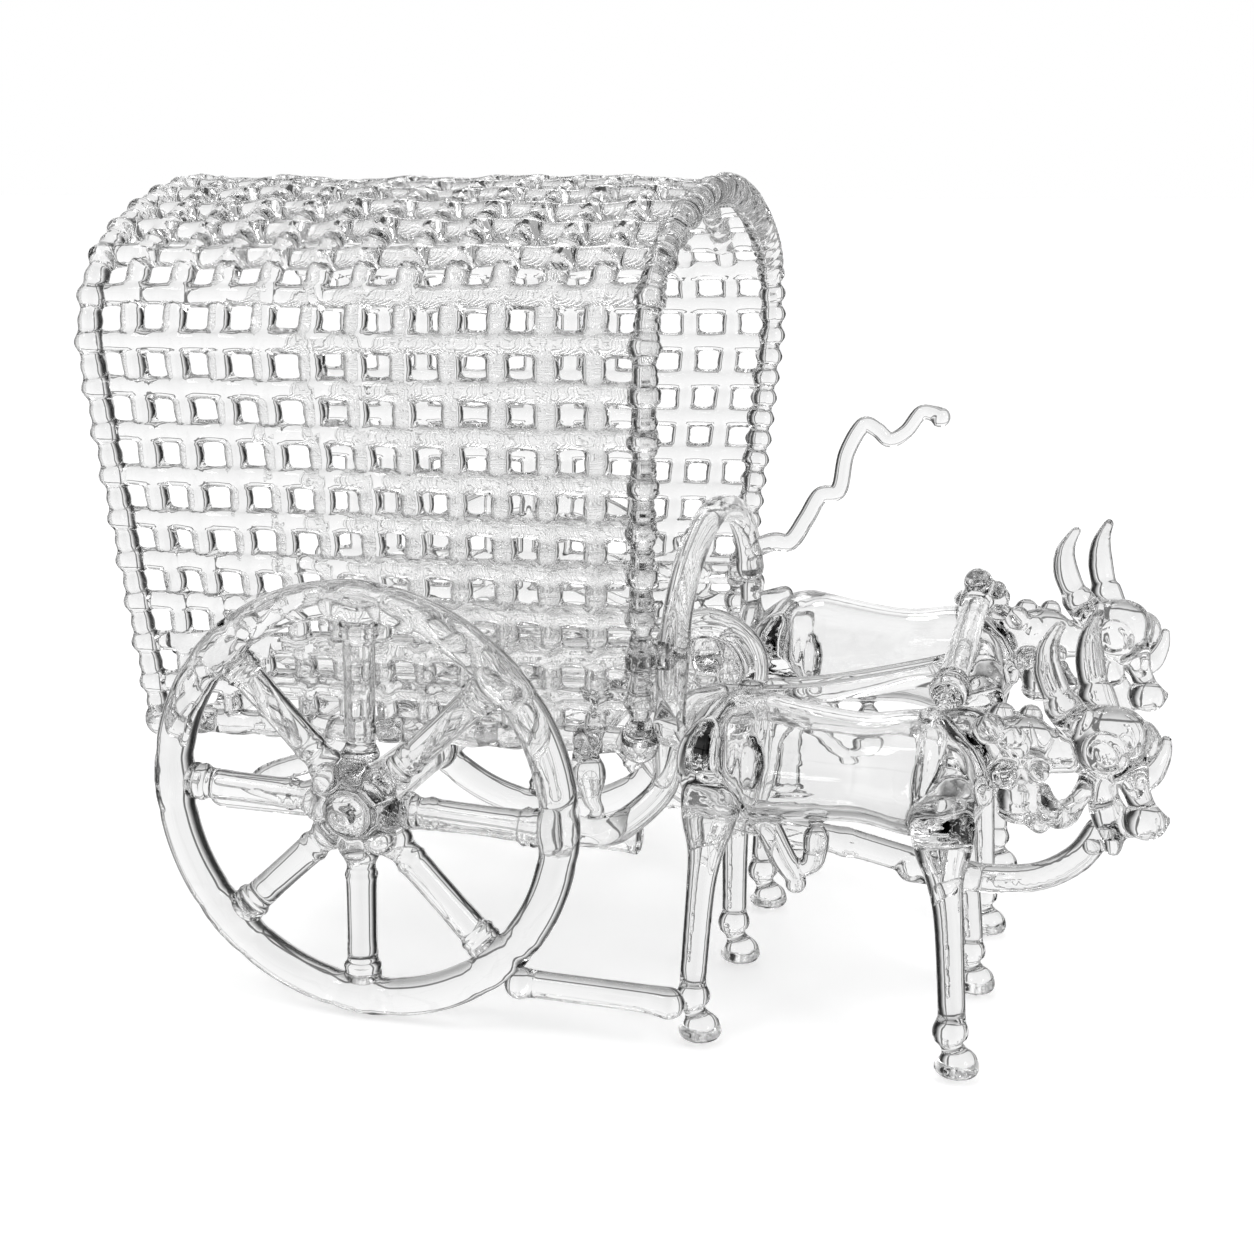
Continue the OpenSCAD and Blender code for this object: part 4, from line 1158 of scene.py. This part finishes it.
def glass(name, tint, wave_mm, wave_depth_mm, cord_mm, haze=0.0, cord_share=0.12):
    """Clear borosilicate glass.

    Slow waves stand for the uneven thickness that the flame leaves, and finer ones for the cords
    of slightly different glass drawn out along it. The haze is the roughness of the fire polish.
    """
    material = bpy.data.materials.new(name)
    material.use_nodes = True
    tree = material.node_tree
    tree.nodes.clear()
    place = add_node(tree, "ShaderNodeTexCoord").outputs["Object"]

    def relief(size_mm, detail, roughness, depth_mm, **under):
        """Noise of one size as a bump of one depth, laid over the normal of the one under it."""
        noise = add_node(tree, "ShaderNodeTexNoise", values={
            "Scale": 1 / (size_mm * MM), "Detail": detail, "Roughness": roughness},
            links={"Vector": place})
        bump = add_node(tree, "ShaderNodeBump", values={
            "Strength": 1.0, "Distance": depth_mm * MM},
            links={"Height": noise.outputs["Fac"], **under})
        return bump.outputs["Normal"]

    waves = relief(wave_mm, 1.0, 0.4, wave_depth_mm)
    cords = relief(cord_mm, 2.0, 0.5, cord_share * wave_depth_mm, Normal=waves)
    shader = add_node(tree, "ShaderNodeBsdfPrincipled", values={
        "Base Color": linear(tint), "Roughness": haze, "IOR": BOROSILICATE_IOR,
        "Transmission Weight": 1.0}, links={"Normal": cords})
    add_node(tree, "ShaderNodeOutputMaterial", links={"Surface": shader.outputs["BSDF"]})
    return material


class FIGURINE_OT_finishes(bpy.types.Operator):
    """Makes the three finishes of clear glass"""
    bl_idname = "figurine.finishes"
    bl_label = "Glass finishes"

    def execute(self, context):
        # solid 5 mm rod drawn at the works: nearly free of waves, so its edges read as crisp lines
        glass(DRAWN_ROD, "#FFFFFF", wave_mm=7.0, wave_depth_mm=0.05, cord_mm=1.6)
        # 3 mm rod melted together cell by cell: more heat, so more waves and swollen joints
        glass(FUSED_LATTICE, "#FEFEFE", wave_mm=3.6, wave_depth_mm=0.10, cord_mm=1.2)
        # tube blown into a body: long soft waves that bend the highlights
        glass(BLOWN_BODY, "#FFFFFF", wave_mm=11.0, wave_depth_mm=0.10, cord_mm=3.0)
        return {"FINISHED"}


# ---------------------------------------------------------------------------------------
# Stage

# what the camera looks at and the windows face, in metres
AIM = np.array([0.02869, 0.0, 0.0525])
# name, azimuth and elevation in degrees, width and height in metres, watts
WINDOWS = (("window_left", -42, 50, 0.22, 0.18, 0.55), ("window_right", 62, 38, 0.16, 0.22, 0.45),
           ("window_rear", 200, 42, 0.24, 0.16, 0.45))
WINDOW_DISTANCE = 0.75
PANE_SHARE = 0.43
LENS_MM, SENSOR_MM = 48.8, 36
GLASS_BOUNCES = 20


def towards(azimuth, elevation):
    """The unit direction from the aim, in degrees round from the right side and above level."""
    a, e = radians(azimuth), radians(elevation)
    return np.array([sin(a) * cos(e), -cos(a) * cos(e), sin(e)])


def place_looking(holder, at, back):
    """Puts a lamp or camera in the scene, looking against the direction back, upright."""
    bpy.context.scene.collection.objects.link(holder)
    holder.location = at
    holder.rotation_euler = Vector(back).to_track_quat("Z", "Y").to_euler()


def add_floor(sizes):
    """A wide white card just below the hooves, matt and a little luminous."""
    half = 8.0
    mesh = bpy.data.meshes.new("floor")
    mesh.from_pydata([(-half, -half, 0), (half, -half, 0), (half, half, 0), (-half, half, 0)],
                     [], [(0, 1, 2, 3)])
    floor = bpy.data.objects.new("floor", mesh)
    floor.location.z = -0.00005
    # the glass looks into the room instead, so that its edges stay dark from every side
    floor.visible_transmission = False
    floor.visible_glossy = False
    bpy.context.scene.collection.objects.link(floor)
    card = bpy.data.materials.new("white_card")
    card.use_nodes = True
    tree = card.node_tree
    tree.nodes.clear()
    matt = add_node(tree, "ShaderNodeBsdfDiffuse",
                    values={"Color": (*[sizes.floor_matt] * 3, 1.0)})
    glow = add_node(tree, "ShaderNodeEmission",
                    values={"Color": linear("#FFFFFF"), "Strength": sizes.floor_glow})
    lit = add_node(tree, "ShaderNodeAddShader", links={0: matt.outputs[0], 1: glow.outputs[0]})
    add_node(tree, "ShaderNodeOutputMaterial", links={"Surface": lit.outputs[0]})
    mesh.materials.append(card)


def add_windows():
    """Soft windows of four panes each, whose glazing bars show in the highlights."""
    for name, azimuth, elevation, wide, tall, power in WINDOWS:
        back = towards(azimuth, elevation)
        over = np.array([cos(radians(azimuth)), sin(radians(azimuth)), 0.0])
        up = np.cross(back, over)
        for pane in range(4):
            light = bpy.data.lights.new(f"{name}_pane_{pane + 1}", "AREA")
            light.shape = "RECTANGLE"
            light.size = PANE_SHARE * wide
            light.size_y = PANE_SHARE * tall
            light.energy = power / 4
            lamp = bpy.data.objects.new(light.name, light)
            shift = (pane % 2 - 0.5) * wide / 2 * over + (pane // 2 - 0.5) * tall / 2 * up
            place_looking(lamp, AIM + WINDOW_DISTANCE * back + shift, back)


class FIGURINE_OT_stage(bpy.types.Operator):
    """Sets the pale floor, the soft lights, the surroundings and the camera"""
    bl_idname = "figurine.stage"
    bl_label = "Stage"

    def execute(self, context):
        scene = context.scene
        sizes = scene.figurine
        add_floor(sizes)
        scene.world = bpy.data.worlds.new("surroundings")
        scene.world.use_nodes = True
        surroundings(scene.world.node_tree, sizes)
        add_windows()

        camera = bpy.data.cameras.new("camera")
        camera.sensor_width = SENSOR_MM
        camera.lens = LENS_MM
        camera.clip_start = 0.01
        back = towards(sizes.camera_azimuth, sizes.camera_elevation)
        holder = bpy.data.objects.new("camera", camera)
        place_looking(holder, AIM + sizes.camera_distance * back, back)
        scene.camera = holder

        scene.view_settings.view_transform = "Standard"
        scene.view_settings.look = "None"
        scene.cycles.max_bounces = GLASS_BOUNCES
        scene.cycles.transmission_bounces = GLASS_BOUNCES
        scene.cycles.glossy_bounces = 8
        scene.cycles.diffuse_bounces = 2
        return {"FINISHED"}


def surroundings(tree, sizes):
    """A bright room with dark cards stood round it, which draw the edges of clear glass.

    Seen straight it is plain white. To the glass it is pale grey, with a dark upright card at
    even steps round, where the cosine of that many times the azimuth is high, thin bars half
    way between the cards, thin rings, a dark ring overhead and a dark round card underfoot.
    """
    tree.nodes.clear()

    def maths(operation, *inputs):
        """A node of arithmetic: its inputs are numbers or the outputs of other nodes."""
        values = {k: v for k, v in enumerate(inputs) if isinstance(v, float)}
        links = {k: v for k, v in enumerate(inputs) if not isinstance(v, float)}
        return add_node(tree, "ShaderNodeMath", {"operation": operation}, values,
                        links).outputs[0]

    def graded(source, low, high, at_low, at_high, kind="SMOOTHSTEP"):
        """A level that goes from at_low to at_high while its source goes from low to high."""
        return add_node(tree, "ShaderNodeMapRange", {"interpolation_type": kind},
                        {"From Min": low, "From Max": high, "To Min": at_low, "To Max": at_high},
                        {"Value": source}).outputs[0]

    def step(source, start, end):
        """0 before start, 1 past end, smooth between; start above end turns it round."""
        return graded(source, min(start, end), max(start, end), float(start > end),
                      float(start < end))

    def mixed(factor, a, level):
        """The output a where the factor is 0, and a fixed level where it is 1."""
        return add_node(tree, "ShaderNodeMix", {"data_type": "FLOAT"}, {"B": level},
                        {"Factor": factor, "A": a}).outputs[0]

    place = add_node(tree, "ShaderNodeTexCoord").outputs["Generated"]
    split = add_node(tree, "ShaderNodeSeparateXYZ", links={"Vector": place})
    height = split.outputs["Z"]
    azimuth = maths("ARCTAN2", split.outputs["Y"], split.outputs["X"])
    phase = maths("MULTIPLY_ADD", azimuth, float(sizes.card_count), radians(sizes.card_phase))
    wave = maths("COSINE", phase)
    fine_wave = maths("COSINE", maths("MULTIPLY", phase, 2.0))

    cards = maths("MULTIPLY", step(wave, 0.05, 0.90), step(height, 0.97, 0.90))
    bars = maths("MULTIPLY", step(fine_wave, -0.955, -0.985), step(height, 0.50, 0.40))
    upper = maths("MULTIPLY", step(height, 0.27, 0.29), step(height, 0.34, 0.32))
    lower = maths("MULTIPLY", step(height, -0.72, -0.70), step(height, -0.65, -0.67))
    lines = maths("MAXIMUM", bars, maths("MAXIMUM", upper, lower))
    overhead = maths("MULTIPLY", step(height, 0.42, 0.72), step(height, 0.93, 0.86))
    underfoot = graded(height, -0.93, -0.62, 0.55, 0.0)
    dark = maths("MAXIMUM", maths("MAXIMUM", cards, maths("MULTIPLY", overhead, 0.62)), underfoot)

    # the walls grow greyer towards the floor
    walls = graded(height, -1.0, 0.3, 0.78, 1.04, "LINEAR")
    room = mixed(dark, mixed(lines, walls, level=0.16), level=0.02)
    seen = add_node(tree, "ShaderNodeLightPath").outputs["Is Camera Ray"]
    sky = add_node(tree, "ShaderNodeBackground", values={"Color": (1.0, 1.0, 1.0, 1.0)},
                   links={"Strength": mixed(seen, room, level=1.0)})
    add_node(tree, "ShaderNodeOutputWorld", links={"Surface": sky.outputs[0]})


# ---------------------------------------------------------------------------------------
# Settings and panel

class FigurineSettings(bpy.types.PropertyGroup):
    """Sizes of the figurine that its frame doesn't give, and of its stage"""
    spoke_count: bpy.props.IntProperty(
        name="Spokes", description="Number of spokes in each wheel", default=8, min=4, max=12)
    spoke_phase: bpy.props.FloatProperty(
        name="Spoke phase", description="Degrees by which the first spoke leans from upright",
        default=1.5)
    cells_round: bpy.props.IntProperty(
        name="Cells round", description="Cells of the lattice round the arch", default=32, min=8)
    cells_along: bpy.props.IntProperty(
        name="Cells along", description="Cells of the lattice along the canopy", default=12, min=4)
    window_along: bpy.props.FloatProperty(
        name="Window along", description="Half of a window's length as a share of its cell",
        default=0.28, min=0.1, max=0.45)
    window_round: bpy.props.FloatProperty(
        name="Window round", description="Half of a window's height as a share of its cell",
        default=0.245, min=0.1, max=0.45)
    lattice_thickness: bpy.props.FloatProperty(
        name="Lattice thickness", description="Thickness of the lattice's rods",
        default=3.4 * MM, unit="LENGTH")
    rope_thickness: bpy.props.FloatProperty(
        name="Rim thickness", description="Thickness of the canopy's rims", default=4.4 * MM,
        unit="LENGTH")
    sill_thickness: bpy.props.FloatProperty(
        name="Sill thickness", description="Thickness of the sills", default=4.2 * MM,
        unit="LENGTH")
    shoulder_height: bpy.props.FloatProperty(
        name="Shoulder height", description="Height at which the walls turn into the roof",
        default=97 * MM, unit="LENGTH")
    shoulder_radius: bpy.props.FloatProperty(
        name="Shoulder radius", description="Radius of the bend at a shoulder", default=17 * MM,
        unit="LENGTH")
    crown_radius: bpy.props.FloatProperty(
        name="Crown radius", description="Radius of the bend across the crown",
        default=58.4 * MM, unit="LENGTH")
    cross_count: bpy.props.IntProperty(
        name="Cross rods", description="Number of rods across the bed", default=5, min=2)
    cross_thickness: bpy.props.FloatProperty(
        name="Cross rod thickness", description="Thickness of the rods across the bed",
        default=4 * MM, unit="LENGTH")
    slat_count: bpy.props.IntProperty(
        name="Slats", description="Number of slats along the bed", default=7, min=2)
    slat_thickness: bpy.props.FloatProperty(
        name="Slat thickness", description="Thickness of a slat", default=3 * MM, unit="LENGTH")
    rail_thickness: bpy.props.FloatProperty(
        name="Rail thickness", description="Thickness of the side rails", default=4 * MM,
        unit="LENGTH")
    head_forward: bpy.props.FloatProperty(
        name="Head forward", description="From the barrel's front to the middle of the skull",
        default=24.6 * MM, unit="LENGTH")
    head_rise: bpy.props.FloatProperty(
        name="Head rise", description="Height of the skull's middle above the barrel's",
        default=6.4 * MM, unit="LENGTH")
    head_turn: bpy.props.FloatProperty(
        name="Head turn", description="Degrees by which each head turns to the right",
        default=32.0)
    floor_glow: bpy.props.FloatProperty(
        name="Floor glow", description="Light that the floor gives of itself", default=0.56)
    floor_matt: bpy.props.FloatProperty(
        name="Floor matt", description="Share of the light that the floor scatters",
        default=0.93, min=0, max=1)
    card_count: bpy.props.IntProperty(
        name="Dark cards", description="Dark upright cards round the room", default=3, min=1)
    card_phase: bpy.props.FloatProperty(
        name="Card phase", description="Degrees by which the cards' wave is shifted",
        default=180 - 3 * 106.5)
    camera_azimuth: bpy.props.FloatProperty(
        name="Camera azimuth", description="Degrees round from the right side", default=16.5)
    camera_elevation: bpy.props.FloatProperty(
        name="Camera elevation", description="Degrees above the floor", default=15.0)
    camera_distance: bpy.props.FloatProperty(
        name="Camera distance", description="Distance of the camera from what it looks at",
        default=0.2769, unit="LENGTH")


BUILD_ORDER = (FIGURINE_OT_finishes, FIGURINE_OT_wheels, FIGURINE_OT_axle, FIGURINE_OT_canopy,
               FIGURINE_OT_ropes, FIGURINE_OT_bed, FIGURINE_OT_undercarriage,
               FIGURINE_OT_drivers_end, FIGURINE_OT_draught_gear, FIGURINE_OT_bullocks,
               FIGURINE_OT_stage)


class FIGURINE_PT_panel(bpy.types.Panel):
    """Lists the figurine's pieces and its main sizes"""
    bl_label = "Figurine"
    bl_idname = "FIGURINE_PT_panel"
    bl_space_type = "VIEW_3D"
    bl_region_type = "UI"
    bl_category = "Figurine"

    def draw(self, context):
        sizes = context.scene.figurine
        for name in sizes.bl_rna.properties.keys():
            if name not in ("rna_type", "name"):
                self.layout.prop(sizes, name)
        for operator in BUILD_ORDER:
            self.layout.operator(operator.bl_idname)


def register():
    bpy.utils.register_class(FigurineSettings)
    for operator in BUILD_ORDER:
        bpy.utils.register_class(operator)
    bpy.utils.register_class(FIGURINE_PT_panel)
    bpy.types.Scene.figurine = bpy.props.PointerProperty(type=FigurineSettings)


def unregister():
    del bpy.types.Scene.figurine
    bpy.utils.unregister_class(FIGURINE_PT_panel)
    for operator in reversed(BUILD_ORDER):
        bpy.utils.unregister_class(operator)
    bpy.utils.unregister_class(FigurineSettings)


def main():
    register()
    for operator in BUILD_ORDER:
        group, name = operator.bl_idname.split(".")
        getattr(getattr(bpy.ops, group), name)()


if __name__ == "__main__":
    main()
